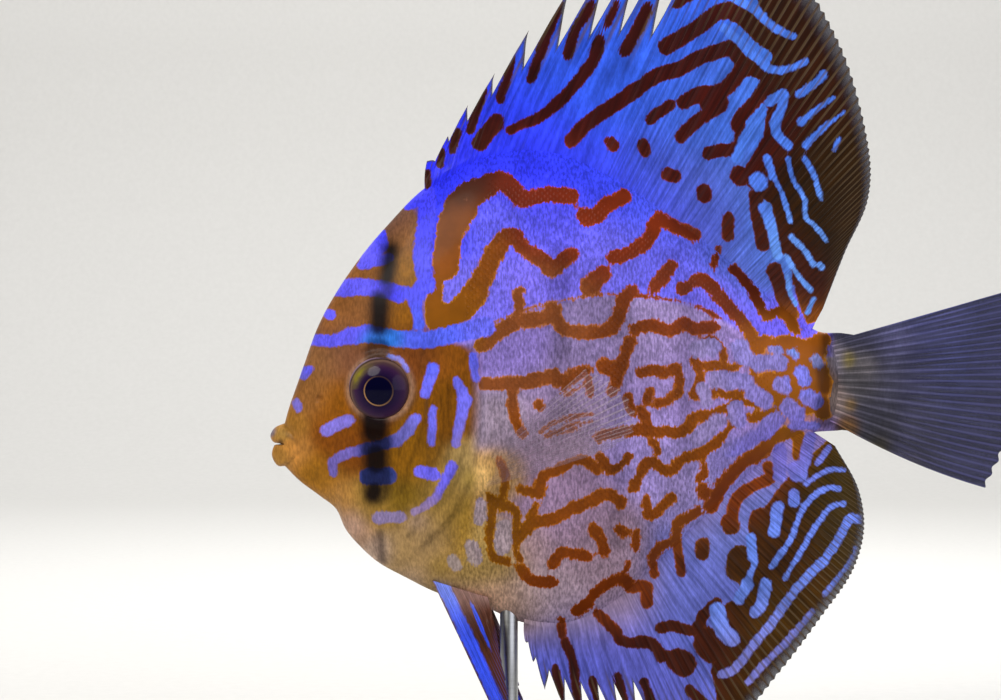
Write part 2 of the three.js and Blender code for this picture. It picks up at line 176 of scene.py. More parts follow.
first[5] = flank(np.array([first[4]]), np.array([(first[1] + first[3]) / 2]))[0]
lip_line = np.array(LIP_KEYS + [first])
lip_steps = np.linspace(0, len(LIP_KEYS), 25)[:-1]


def through(points, at):
    """A smooth curve through the listed points, read at places counted in points."""
    points = np.array(points, float)
    last = len(points) - 1
    padded = np.vstack([2 * points[0] - points[1], points, 2 * points[-1] - points[-2]])
    i = np.clip(np.floor(at).astype(int), 0, last - 1)
    t = (at - i)[:, None]
    a, b, c, d = padded[i], padded[i + 1], padded[i + 2], padded[i + 3]
    return b + 0.5 * t * (c - a + t * (2 * a - 5 * b + 4 * c - d + t * (3 * (b - c) + d - a)))


turn = np.linspace(0, 2 * math.pi, RING_STEPS, endpoint=False)
level = -np.cos(turn)
wide = np.abs(np.sin(turn))
side = np.where(turn < math.pi, -1.0, 1.0)
lips = through(lip_line, lip_steps)
keys = np.vstack([lips, trunk_keys])
middle = (keys[:, 1] + keys[:, 3])[:, None] / 2
half_tall = (keys[:, 1] - keys[:, 3])[:, None] / 2
skin_z = middle + half_tall * level
end_x = np.where(level > 0, keys[:, 0:1], keys[:, 2:3])
skin_x = keys[:, 4:5] + (end_x - keys[:, 4:5]) * level ** 2
skin_y = keys[:, 5:6] * wide ** 1.04
trunk = slice(len(lips), None)
body_x = skin_x[trunk]
plain = flank(body_x, skin_z[trunk])
lift = relief(body_x, skin_z[trunk]) * eased(plain, 0.3, 2.2)
skin_y[trunk] = plain + lift
skin_y = skin_y * side
skin_spots = np.stack([skin_x, skin_y, skin_z], -1)


def grid_faces(rows, columns, closed):
    """Four-sided faces between neighbouring rows of points, round and back to the start if closed."""
    across = columns if closed else columns - 1
    r, c = np.meshgrid(np.arange(rows - 1), np.arange(across), indexing="ij")
    n = (c + 1) % columns
    corners = [r * columns + c, r * columns + n, (r + 1) * columns + n, (r + 1) * columns + c]
    return np.stack(corners, -1).reshape(-1, 4)


def mesh_piece(name, spots, faces, material=None, smooth=True):
    """A mesh object from points in millimetres."""
    mesh = bpy.data.meshes.new(name)
    mesh.from_pydata((np.asarray(spots, float).reshape(-1, 3) / 1000).tolist(), [], [list(f) for f in faces])
    mesh.validate()
    mesh.update()
    if smooth:
        mesh.shade_smooth()
    else:
        mesh.shade_flat()
    piece = bpy.data.objects.new(name, mesh)
    bpy.context.scene.collection.objects.link(piece)
    if material:
        mesh.materials.append(material)
    return piece


rows = len(skin_spots)
tail_point = skin_spots[-1].mean(0) + [0.2, 0, 0]
skin_points = np.vstack([skin_spots.reshape(-1, 3), MOUTH_POINT, tail_point])
front_tip = rows * RING_STEPS
ring_next = (np.arange(RING_STEPS) + 1) % RING_STEPS
caps = [(front_tip, int(ring_next[i]), i) for i in range(RING_STEPS)]
tail_start = (rows - 1) * RING_STEPS
caps += [(front_tip + 1, tail_start + i, tail_start + int(ring_next[i])) for i in range(RING_STEPS)]
skin_faces = grid_faces(rows, RING_STEPS, True)[:, ::-1].tolist() + caps
skin = mesh_piece("fish_skin", skin_points, skin_faces)

# Thin painted shadow lines also darken the face's folds.
# Colour pattern of the fish
# Pigment lies in the skin: rust-brown worm lines on blue and lavender, and blue dashes on a golden face.
# Each mark is a brush stroke in pixels of the picture: its width, then each bend's place across and down.

# Rust worm lines of the flanks, back and tail root.
BODY_BROWN = [
    (10, 490, 498, 492, 514, 489, 538), (7, 489, 538, 493, 557, 508, 562),
    (7, 514, 506, 517, 522, 515, 545, 520, 560),
    (16, 431, 312, 436, 285, 441, 259, 447, 220, 458, 197, 483, 184, 504, 180, 512, 188),
    (24, 446, 268, 452, 232, 464, 210), (15, 466, 214, 474, 200, 490, 190),
    ((17, 15), 500, 181, 512, 188, 521, 199, 544, 195, 571, 195),
    (15, 583, 214, 592, 218, 607, 205, 624, 197), (13, 613, 257, 630, 253, 648, 240, 655, 224),
    (12, 659, 217, 674, 226, 695, 235), (23, 434, 308, 440, 325), (24, 436, 316, 458, 312, 477, 289),
    ((21, 16), 474, 296, 491, 259, 504, 240, 514, 236),
    (14, 514, 238, 527, 251, 544, 262, 552, 270, 565, 259, 573, 255), (11, 519, 293, 519, 312),
    (17, 588, 287, 602, 274), (13, 655, 287, 671, 266),
    (12, 682, 289, 697, 280, 707, 283, 720, 297, 731, 309, 743, 322, 752, 338, 758, 350),
    (12, 756, 350, 765, 341, 777, 348, 797, 348, 817, 347), (6, 718, 249, 713, 268),
    (15, 482, 345, 493, 337, 502, 329, 519, 322, 544, 318, 554, 310),
    (13, 552, 308, 562, 327, 583, 333, 604, 331, 617, 320, 623, 301, 632, 291),
    (12, 636, 329, 650, 324, 669, 331, 684, 324, 697, 329, 713, 327),
    (9, 733, 268, 749, 286, 759, 302, 767, 316, 779, 311, 786, 318, 795, 329),
    (13, 485, 384, 512, 384, 535, 380, 554, 376), (11, 554, 376, 565, 380, 584, 372),
    (9, 512, 390, 514, 416, 523, 434), (10, 539, 404, 540, 407), (7, 588, 378, 590, 394),
    (16, 604, 366, 610, 368), (11, 630, 342, 621, 365, 613, 392),
    (10, 641, 372, 652, 370, 664, 373, 676, 368), (9, 679, 374, 679, 390, 668, 400, 658, 404),
    (9, 650, 392, 647, 400), (9, 628, 397, 632, 411),
    (11, 600, 438, 611, 434, 636, 430, 659, 432, 684, 430, 695, 418, 713, 415),
    (9, 694, 359, 701, 376, 694, 395), (9, 700, 366, 718, 366),
    (11, 539, 493, 544, 478, 565, 466, 581, 460, 596, 468), (8, 600, 457, 611, 470, 623, 464, 628, 457),
    (10, 520, 490, 535, 492), (11, 495, 503, 512, 508),
    (12, 518, 537, 535, 522, 554, 518, 573, 508, 592, 501, 607, 493, 621, 503),
    (10, 634, 487, 640, 474, 650, 462, 669, 472, 680, 462, 694, 455, 711, 447, 722, 436),
    (10, 646, 499, 650, 516, 663, 506, 672, 497), (12, 593, 530, 596, 533), (11, 620, 530, 623, 532),
    (10, 602, 540, 605, 552), (7, 636, 533, 635, 549), (10, 676, 538, 678, 524, 688, 518, 697, 510),
    (12, 702, 489, 704, 494), (11, 552, 565, 562, 553, 588, 557), (11, 521, 569, 531, 580, 552, 582),
    (11, 577, 611, 588, 603), (10, 594, 594, 604, 586, 625, 578, 630, 588, 646, 586, 648, 601),
    (6, 628, 563, 624, 578), (8, 561, 622, 562, 634), (10, 598, 613, 611, 626, 617, 632),
    (9, 654, 574, 653, 557, 661, 547, 674, 543, 678, 553, 681, 572), (13, 703, 545, 702, 553),
    (8, 694, 395, 706, 398, 716, 388, 724, 372, 722, 352, 712, 340, 700, 344),
    (2.5, 553, 386, 572, 370, 588, 366), (2.5, 560, 392, 578, 376, 592, 370), (2, 566, 396, 586, 384),
    (3, 540, 432, 560, 420, 592, 414), (2.5, 545, 438, 566, 427, 590, 421), (2, 556, 434, 580, 427),
    (1.6, 470, 333, 500, 320, 530, 308, 575, 298, 610, 294, 650, 297, 690, 304, 720, 318),
    (26, 786, 348, 800, 352, 814, 350), (34, 796, 376, 815, 384), (16, 815, 350, 822, 340),
    (16, 820, 372, 822, 412), (26, 770, 384, 790, 400, 810, 402),
    (7, 724, 372, 738, 366, 747, 356, 744, 344), (7, 716, 388, 728, 396, 742, 388, 752, 376, 754, 360),
    (8, 713, 415, 726, 408, 736, 400, 742, 388), (7, 752, 376, 764, 382, 778, 378, 790, 372, 800, 360),
    (7, 744, 402, 757, 404, 768, 398, 778, 390, 790, 392, 802, 384),
    (7, 722, 436, 733, 424, 744, 417, 757, 418, 768, 412), (7, 768, 412, 782, 410, 796, 404, 806, 396),
    (6, 757, 404, 757, 418), (6, 778, 378, 778, 390), (6, 726, 408, 733, 424),
    (6, 770, 358, 774, 368, 778, 378), (6, 752, 344, 754, 360), (8, 640, 410, 646, 420, 644, 430),
    (7, 658, 452, 652, 440), (7, 700, 455, 704, 470, 698, 480), (8, 500, 462, 506, 478, 502, 500),
    (7, 536, 505, 530, 520),
]
# Maroon lines and spots of the back and belly fins.
SOFT_FIN_BROWN = [
    (13, 711, 507, 717, 496, 728, 478, 743, 463, 762, 452, 774, 438, 789, 432, 799, 438, 799, 455),
    (17, 729, 522, 731, 526), (11, 732, 513, 736, 500, 747, 490, 762, 482, 772, 476, 768, 467),
    (10, 661, 628, 674, 626, 694, 631, 703, 616, 717, 603), (30, 709, 643, 713, 648),
    (24, 679, 661, 684, 665), (9, 640, 641, 652, 643, 661, 658), (25, 734, 614, 738, 619),
    (24, 762, 520, 761, 530), (28, 741, 560, 740, 568),
    (10, 619, 639, 630, 643, 650, 643, 663, 655, 678, 655), (8, 565, 641, 573, 662, 577, 700),
    (11, 646, 595, 647, 603), (7, 555, 668, 562, 700), (8, 592, 680, 603, 712), (8, 617, 676, 628, 712),
    (8, 644, 682, 655, 712), (9, 690, 690, 705, 705),
    ((9, 12), 511, 130, 523, 124, 536, 119, 556, 105, 576, 84, 594, 59, 599, 41),
    (14, 571, 140, 589, 122, 610, 108, 633, 92, 658, 75, 679, 69, 701, 57, 730, 47),
    (13, 730, 47, 745, 64, 765, 74, 781, 79), (15, 666, 47, 684, 36, 701, 25, 717, 13, 730, 10),
    (16, 730, 10, 747, 20, 765, 38, 781, 47, 801, 51, 816, 43), (12, 676, 2, 690, -6),
    (10, 650, 119, 670, 105), (14, 684, 102, 699, 94, 717, 92, 730, 84, 742, 71, 755, 69),
    (24, 711, 100, 716, 103), (12, 714, 110, 696, 122, 681, 136),
    (12, 709, 153, 722, 150, 737, 148, 742, 133, 737, 122, 747, 110, 758, 97, 768, 82),
    (11, 610, 142, 613, 146), (11, 643, 145, 645, 151), (12, 667, 174, 675, 176), (14, 704, 191, 704, 196),
    (11, 728, 218, 728, 236), (18, 739, 175, 741, 177), (13, 755, 196, 758, 217, 763, 245),
    ((12, 8), 775, 269, 781, 282, 795, 315), (10, 772, 270, 777, 284, 783, 302, 792, 322),
    (8, 500, 99, 508, 74, 511, 56), (9, 531, 79, 538, 59, 551, 25, 561, 5), (10, 568, 55, 576, 28, 592, 5),
    (7, 607, 25, 617, 3), (11, 624, 52, 635, 33, 648, 8), (15, 480, 143, 488, 132, 497, 122),
    (8, 470, 130, 478, 108, 483, 90), (7, 452, 150, 457, 132), (6, 440, 165, 442, 152),
    (6, 428, 185, 427, 172),
]
# Outlines of the dark rear fields of the back fin and the belly fin.
REAR_DORSAL = [
    (748, -30), (762, 8), (770, 30), (775, 52), (768, 72), (760, 86), (768, 108), (764, 135), (752, 158),
    (742, 170), (748, 186), (760, 196), (772, 204), (777, 225), (779, 250), (790, 262), (794, 285),
    (800, 308), (808, 324), (828, 316), (850, 290), (930, 180), (900, -80), (780, -80),
]
REAR_ANAL = [
    (800, 466), (782, 484), (774, 496), (762, 511), (757, 524), (750, 545), (736, 562), (738, 580),
    (742, 602), (736, 626), (720, 652), (712, 668), (716, 690), (722, 720), (760, 760), (900, 620),
    (878, 500), (850, 446), (830, 438),
]
# Bright blue dashes on the fins' dark rear fields.
BLUE_ON_FINS = [
    ((9, 7), 736, -2, 755, 8, 765, 18, 776, 28, 793, 36),
    ((10, 6), 724, 28, 740, 41, 755, 56, 770, 69, 788, 69, 806, 61), (8, 799, 94, 814, 84, 824, 74),
    (10, 770, 102, 783, 94, 781, 110, 775, 122, 778, 135, 788, 145), ((8, 3), 801, 122, 816, 110, 834, 97),
    (11, 755, 122, 745, 138, 737, 158), (8, 767, 158, 773, 176), ((8, 3), 806, 145, 821, 130, 844, 112),
    (4, 834, 150, 839, 139), (17, 757, 180, 759, 183), (10, 763, 207, 770, 222, 775, 245, 778, 255),
    (4.5, 773, 176, 781, 191, 788, 212, 791, 222),
    (5, 788, 158, 793, 179, 804, 199, 806, 217, 816, 227, 826, 240), (5.5, 804, 158, 814, 176, 821, 199),
    (6, 791, 237, 804, 250, 814, 265), (5, 786, 256, 796, 273, 805, 284, 811, 290), (7, 820, 265, 822, 267),
    (5, 787, 276, 790, 293, 796, 304), (4, 814, 299, 807, 313), (16, 717, 610, 722, 630, 732, 639),
    (12, 747, 584, 739, 599), (12, 766, 584, 762, 603, 755, 612), (10, 751, 538, 753, 557),
    (6, 755, 563, 749, 578), (12, 778, 507, 774, 532), (11, 794, 494, 794, 502), (14, 780, 450, 780, 476),
    (19, 796, 470, 798, 473), (12, 810, 438, 804, 463), (6, 818, 463, 829, 448),
    (5, 806, 484, 818, 475, 833, 469, 845, 471),
    (6, 772, 566, 789, 542, 797, 522, 804, 507, 816, 494, 829, 488, 840, 489),
    (5.5, 785, 578, 799, 555, 812, 532, 820, 520, 831, 507, 844, 504),
    (9, 722, 675, 736, 668, 755, 643, 774, 620, 793, 593, 812, 572, 827, 557, 839, 538, 850, 520, 861, 520),
    (7, 749, 683, 762, 666, 782, 647, 804, 622, 812, 612), (5, 824, 595, 850, 563, 856, 549),
]
# Blue bands and dashes of the forehead and cheek.
FACE_BLUE = [
    (17, 337, 288, 352, 287, 375, 288, 400, 294), (11, 408, 292, 416, 305, 419, 325),
    ((11, 15), 312, 340, 335, 340, 352, 336), (17, 350, 336, 370, 334, 400, 339, 428, 340),
    ((16, 20), 428, 340, 455, 334, 485, 327), (18, 427, 196, 426, 225, 422, 250, 424, 272, 427, 285),
    (17, 423, 285, 416, 300), (20, 410, 200, 424, 190), (17, 368, 260, 380, 245), (11, 377, 243, 381, 234),
    (10, 362, 265, 388, 258), (10, 328, 314, 331, 315), ((13, 10), 433, 369, 429, 382, 425, 394),
    (8, 433, 409, 431, 443), ((9, 14), 457, 381, 462, 392, 465, 401),
    ((13, 9), 465, 401, 461, 419, 456, 443), (12, 326, 431, 337, 425, 349, 420),
    ((9, 13), 331, 462, 349, 453, 373, 447, 396, 441), (12, 396, 441, 408, 430, 415, 419),
    (8, 333, 473, 332, 462), (18, 368, 477, 388, 476), (13, 420, 472, 434, 474),
    ((12, 8), 452, 466, 446, 480, 440, 490), (12, 378, 518, 400, 517), (8, 414, 512, 426, 506, 438, 496),
    ((13, 6), 303, 373, 311, 369), (8, 296, 402, 299, 408), (9, 473, 356, 476, 378),
]
# The dark bar through the eye, broken where the blue bands cross it.
DARK_BARS = [
    (19, 391, 250, 387, 279), (23, 380, 300, 379, 326), (31, 375, 418, 375, 432), (28, 376, 454, 376, 464),
    (24, 374, 490, 373, 494),
]
# Weaker dark bars: below the eye, on the chin, and at the tail's root.
DIM_BARS = [
    (12, 826, 338, 826, 352), (15, 823, 370, 825, 388), (17, 823, 404, 824, 420), (24, 378, 348, 376, 354),
    (30, 376, 420, 376, 490), (9, 380, 534, 382, 560), (3, 374, 536, 376, 552), (13, 389, 283, 384, 300),
]
# Hardly visible upright bars of the flank.
FAINT_BARS = [
    (16, 560, 250, 561, 330, 558, 430), (17, 622, 300, 622, 360, 618, 470, 616, 540),
    (15, 688, 290, 686, 380, 684, 470), (12, 822, 346, 824, 384, 822, 425),
]
# Thin shadow lines in the folds of cheek, gill cover and mouth.
FACE_FOLDS = [
    (3, 427, 398, 425, 418, 418, 442, 409, 466, 402, 492), (2.5, 441, 398, 443, 420, 440, 448, 431, 470),
    (2.5, 449, 385, 448, 412, 450, 438, 446, 462),
    (3, 472, 384, 474, 408, 470, 432, 462, 456, 450, 480, 436, 506), (2, 414, 396, 404, 430, 398, 456),
    (2.5, 470, 346, 476, 366, 474, 384), (2, 288, 436, 296, 441, 303, 450),
    (2, 462, 470, 448, 496, 428, 520, 408, 536),
]
# Pale lilac cells between the lines on the tail's root and over the belly.
REAR_LILAC = [
    ((15, 18), 503, 526, 503, 545), (15, 472, 546, 475, 558), (13, 481, 504, 480, 518),
    (12, 452, 560, 456, 566), (18, 697, 349, 712, 348), (18, 740, 347, 745, 358), (17, 758, 363, 779, 363),
    (18, 716, 380, 744, 381), (13, 702, 389, 706, 401), (17, 736, 408, 739, 419), (17, 754, 393, 765, 401),
    (14, 779, 384, 786, 388), (15, 801, 373, 804, 379), (8, 772, 350, 779, 351), (8, 792, 352, 795, 356),
    (16, 808, 397, 816, 401), (17, 788, 407, 797, 415), (17, 764, 431, 775, 421), (9, 792, 426, 816, 425),
    (15, 697, 440, 719, 420), (14, 729, 451, 752, 438), (5, 787, 379, 788, 380), (9, 816, 358, 818, 365),
    (5, 388, 356, 400, 360, 408, 370),
]
# Where the face's gold ends, from the throat up to the crown.
FACE_LINE = [
    (100, 395), (150, 400), (195, 412), (230, 426), (300, 424), (336, 432), (348, 468), (370, 476),
    (450, 474), (500, 476), (560, 462), (620, 440), (700, 430),
]
# Ground shades of the face and throat, each with its place across and down the picture, and its reach.
FACE_GROUND = [
    ("#C6A49A", 350, 527, 13), ("#C4A898", 376, 556, 14), ("#BC9E8A", 408, 581, 13),
    ("#A88C78", 418, 520, 9), ("#9C7C30", 440, 565, 10), ("#694739", 398, 222, 18),
    ("#85572B", 408, 240, 16), ("#8A5C17", 412, 266, 16), ("#855429", 350, 305, 30),
    ("#87540C", 404, 314, 16), ("#784C35", 340, 352, 22), ("#733E17", 420, 352, 24),
    ("#7C470C", 450, 352, 20), ("#906031", 308, 392, 18), ("#87500C", 340, 405, 22),
    ("#773F08", 345, 440, 24), ("#A16F2B", 292, 425, 12), ("#B67C3A", 292, 452, 14),
    ("#A16B17", 318, 478, 18), ("#AC7B3D", 338, 502, 16), ("#A47B52", 345, 532, 20),
    ("#997632", 370, 505, 18), ("#7E5208", 412, 462, 20), ("#7C4B08", 445, 405, 22),
    ("#7A5C0C", 408, 500, 18), ("#9A7A3C", 445, 500, 24), ("#A08450", 472, 470, 18),
    ("#A8885C", 430, 545, 26), ("#A2824E", 400, 570, 24), ("#A07A28", 465, 545, 22),
    # The near-black shade at 281, 442 is painted shadow in the gap between the lips.
    ("#A58659", 440, 596, 22), ("#757084", 271, 431, 3.5), ("#1D120C", 281, 442, 2.6),
    ("#A88443", 283, 434, 6), ("#A17631", 282, 457, 8), ("#94663C", 322, 360, 16),
    # The pale gold at 470, 478 is the chest fin knob's yellowish flesh with a painted highlight on it.
    ("#9C7828", 470, 520, 20), ("#B49542", 470, 478, 8),
]
# Ground shades above the side line and on the back fin.
BACK_GROUND = [
    ("#2C32F6", 440, 165, 50), ("#3238F8", 540, 160, 60), ("#3C48EC", 610, 175, 44),
    ("#4652D8", 660, 215, 34), ("#4A58BC", 710, 224, 34), ("#4C62BC", 745, 262, 30),
    ("#6A66EC", 500, 220, 26), ("#5E5AE8", 560, 228, 30), ("#7468DC", 545, 285, 36),
    ("#6A64DC", 605, 255, 36), ("#6662E4", 665, 262, 34), ("#7468EC", 720, 302, 24),
    ("#7466F8", 780, 328, 22), ("#7068E4", 478, 300, 26), ("#2E54DC", 560, 60, 60),
    ("#325ADC", 620, 100, 50), ("#3460E2", 650, 40, 50), ("#3E62CC", 700, 110, 50),
    ("#4A62BA", 740, 185, 30), ("#2A3CEC", 500, 110, 40), ("#4474DC", 790, 110, 60),
    ("#4C7CD4", 800, 220, 40), ("#2E34F4", 420, 210, 30), ("#4456C0", 650, 160, 30),
    ("#4A5ABC", 695, 180, 30),
]
# Ground shades below the side line, on the belly fin and on the tail fin.
SIDE_GROUND = [
    ("#806EB7", 520, 352, 26), ("#7C6C9A", 585, 352, 26), ("#917FAF", 650, 352, 26),
    ("#917DAB", 560, 400, 34), ("#8C7484", 560, 430, 30), ("#9A88C8", 640, 452, 30),
    ("#8F7BB7", 665, 380, 34), ("#8F7F92", 510, 415, 20), ("#8B7292", 570, 500, 36),
    ("#8F7589", 590, 545, 36), ("#A69098", 560, 600, 36), ("#B09483", 520, 608, 24),
    ("#A38892", 615, 590, 36), ("#9883B3", 700, 500, 28), ("#8677BB", 735, 470, 24),
    ("#917BBF", 740, 395, 26), ("#A7661B", 784, 385, 24), ("#A06828", 808, 372, 14),
    ("#AC6A11", 790, 415, 18), ("#4E4440", 824, 384, 7), ("#66606C", 836, 362, 9),
    # The pale gold at 482, 478 is the chest fin knob's yellowish flesh with a painted highlight on it.
    ("#6A5C58", 838, 400, 10), ("#D8AE6C", 482, 478, 8), ("#A07C48", 504, 476, 16),
    ("#A08248", 500, 560, 22), ("#B99274", 500, 606, 18), ("#9A7F85", 530, 545, 18),
    ("#656CBB", 690, 590, 36), ("#6A75C4", 730, 520, 40), ("#616CC8", 700, 620, 50),
    ("#6366CC", 620, 680, 60), ("#4B55BB", 560, 680, 50), ("#8677BF", 790, 445, 26),
    ("#403D3E", 862, 380, 18), ("#373646", 900, 378, 36), ("#2C3050", 960, 350, 50),
    ("#313038", 900, 440, 36), ("#2F3046", 980, 440, 40), ("#64581A", 848, 361, 6),
    ("#5A4418", 850, 404, 5), ("#523818", 848, 427, 8), ("#383219", 880, 449, 10), ("#342E1B", 912, 469, 9),
    ("#5D585A", 866, 366, 9), ("#414267", 940, 318, 24), ("#4E4D6F", 900, 340, 14),
]
# Shades of the brown lines, from rust in front to maroon on the fins.
BROWN_SHADES = [
    ("#6C2514", 545, 192, 40), ("#85470F", 447, 250, 40), ("#824D0A", 450, 310, 30),
    ("#7A2C10", 600, 210, 40), ("#742E12", 690, 290, 40), ("#804622", 540, 325, 40),
    ("#7A390B", 640, 375, 50), ("#844509", 720, 420, 50), ("#7C3E09", 573, 508, 50),
    ("#764705", 505, 520, 30), ("#753108", 590, 575, 40), ("#8A4A0C", 780, 352, 30),
    ("#380D08", 650, 80, 60), ("#330A0A", 560, 60, 60), ("#3E0F08", 720, 140, 50), ("#2E1406", 800, 50, 40),
    ("#2A1804", 815, 200, 40), ("#3E1407", 755, 260, 40), ("#722E09", 740, 480, 30),
    ("#411809", 700, 640, 40), ("#3C2007", 790, 540, 40), ("#432A04", 790, 640, 50),
    ("#3C2C03", 845, 520, 40), ("#37110B", 600, 690, 50), ("#534309", 848, 362, 14),
    ("#3E2D09", 880, 448, 30), ("#331109", 440, 170, 40), ("#854F05", 790, 400, 30),
    ("#AC6014", 775, 365, 26), ("#A45C16", 808, 395, 18),
]
# Shades of the blue marks and lilac cells.
BLUE_SHADES = [
    ("#9A8890", 494, 535, 26), ("#A08E88", 456, 560, 16), ("#625CF6", 350, 290, 30),
    ("#3A34F0", 389, 290, 10), ("#2A72D4", 384, 340, 13), ("#3E3EF4", 425, 215, 30),
    ("#5454F0", 425, 275, 26), ("#5262F0", 440, 338, 26), ("#6466E8", 480, 330, 20),
    ("#6E6CEE", 460, 400, 30), ("#7A6ECC", 340, 425, 18), ("#7264B8", 343, 458, 12),
    ("#2A3272", 376, 447, 14), ("#303E84", 376, 477, 14), ("#8C7CA8", 390, 518, 18),
    ("#947CA0", 428, 506, 16), ("#6C68C0", 408, 436, 12), ("#4A78E4", 780, 120, 70),
    ("#6494EA", 820, 240, 50), ("#4A70D8", 758, 190, 30), ("#7468C0", 785, 455, 30),
    ("#6080DC", 760, 580, 50), ("#6C86EC", 830, 520, 50), ("#8080D4", 790, 650, 50),
    ("#6E66F2", 440, 480, 20), ("#847AC0", 745, 370, 20), ("#8276C0", 760, 400, 24),
    ("#8A84D8", 398, 362, 9), ("#7C80BC", 818, 362, 7), ("#7A7AE0", 800, 380, 10),
    ("#8A7CB0", 700, 400, 30), ("#8C7488", 500, 440, 30),
]
# The side line from gill cover to tail, which parts the upper ground shades from the lower ones.
LATERAL_LINE = [
    (380, 345), (430, 342), (480, 336), (530, 307), (575, 297), (610, 293), (650, 296), (690, 303),
    (730, 322), (760, 342), (820, 352), (900, 352),
]


def linear(shade):
    """A paint shade written as sRGB hex, as the linear light that Blender mixes."""
    parts = [int(shade[i:i + 2], 16) / 255 for i in (1, 3, 5)]
    return tuple(p / 12.92 if p <= 0.04045 else ((p + 0.055) / 1.055) ** 2.4 for p in parts) + (1.0,)


def on_picture(spots):
    """Where points of the fish lie in the picture; the far side mirrors the near one, a little shifted."""
    x, y, z = np.asarray(spots, float).reshape(-1, 3).T
    nearer = VIEW_DISTANCE / (VIEW_DISTANCE - np.abs(y)) / MM_PER_PIXEL
    across = PICTURE[0] / 2 + (x - VIEW_CENTRE[0]) * nearer
    down = PICTURE[1] / 2 - (z - VIEW_CENTRE[1]) * nearer
    far = eased(y, 0.5, 7) * np.clip((across - 390) / 150, 0.15, 1)
    moved_across = across + 8 * far * np.sin(down / 41 + 1.3)
    moved_down = down + 7 * far * np.sin(across / 47 + 0.4)
    return np.stack([moved_across, moved_down], 1)


def stroke_depth(places, strokes):
    """Millimetres from each place to the nearest stroke's edge, negative inside it."""
    depth = np.full(len(places), 3.0)
    for width, *bends in strokes:
        bends = np.reshape(bends, (-1, 2))
        count = len(bends)
        at = np.linspace(0, count - 1, (count - 1) * 6 + 1)
        line = through(bends, at)
        broad = np.interp(at, [0, count - 1], width if isinstance(width, tuple) else (width, width)) / 2
        low = line.min(0) - broad.max() - 16
        high = line.max(0) + broad.max() + 16
        near = np.nonzero(((places > low) & (places < high)).all(1))[0]
        if not len(near):
            continue
        here = places[near]
        best = np.full(len(near), 1e3)
        for a, b, wa, wb in zip(line[:-1], line[1:], broad[:-1], broad[1:]):
            reach = b - a
            t = np.clip(((here - a) @ reach) / (reach @ reach + 1e-9), 0, 1)
            gap = np.hypot(*(here - a - t[:, None] * reach).T) - (wa + t * (wb - wa))
            best = np.minimum(best, gap)
        best = best * MM_PER_PIXEL
        blend = np.clip(0.5 + (depth[near] - best) / 0.8, 0, 1)
        depth[near] = depth[near] * (1 - blend) + best * blend - 0.4 * blend * (1 - blend)
    return depth


def field_depth(places, outline):
    """Millimetres from each place to an outline's edge, negative inside it."""
    outline = np.array(outline, float)
    inside = np.zeros(len(places), bool)
    gap = np.full(len(places), 1e3)
    for a, b in zip(outline, np.roll(outline, -1, 0)):
        reach = b - a
        t = np.clip(((places - a) @ reach) / (reach @ reach), 0, 1)
        gap = np.minimum(gap, np.hypot(*(places - a - t[:, None] * reach).T))
        crosses = (a[1] > places[:, 1]) != (b[1] > places[:, 1])
        meets = a[0] + (places[:, 1] - a[1]) * reach[0] / (reach[1] if reach[1] else 1e-9)
        inside ^= crosses & (places[:, 0] < meets)
    return np.where(inside, -gap, gap) * MM_PER_PIXEL


def shades(places, palette):
    """Paint shades that run softly into one another between the listed places."""
    total = np.full(len(places), 1e-12)
    mixed = np.zeros((len(places), 4))
    for shade, across, down, reach in palette:
        gap = np.hypot(places[:, 0] - across, places[:, 1] - down)
        weight = np.exp(-(gap / reach) ** 2) + 1e-5 * np.exp(-gap / 60)
        total += weight
        mixed += weight[:, None] * np.array(linear(shade))
    return mixed / total[:, None]


def put(piece, name, values):
    """Lays a value or a colour on every point of a piece."""
    tint = np.ndim(values) == 2
    layer = piece.data.attributes.new(name, "FLOAT_COLOR" if tint else "FLOAT", "POINT")
    layer.data.foreach_set("color" if tint else "value", np.asarray(values, np.float32).ravel())


TAIL_BAR_FROM = 800
TAIL_STARTS = (818, 836)
EYE_IN_PICTURE = (380.1, 388.4)
EYE_RIM_PIXELS = 31.5
EYE_RIM_SHADE = "#9A7862"


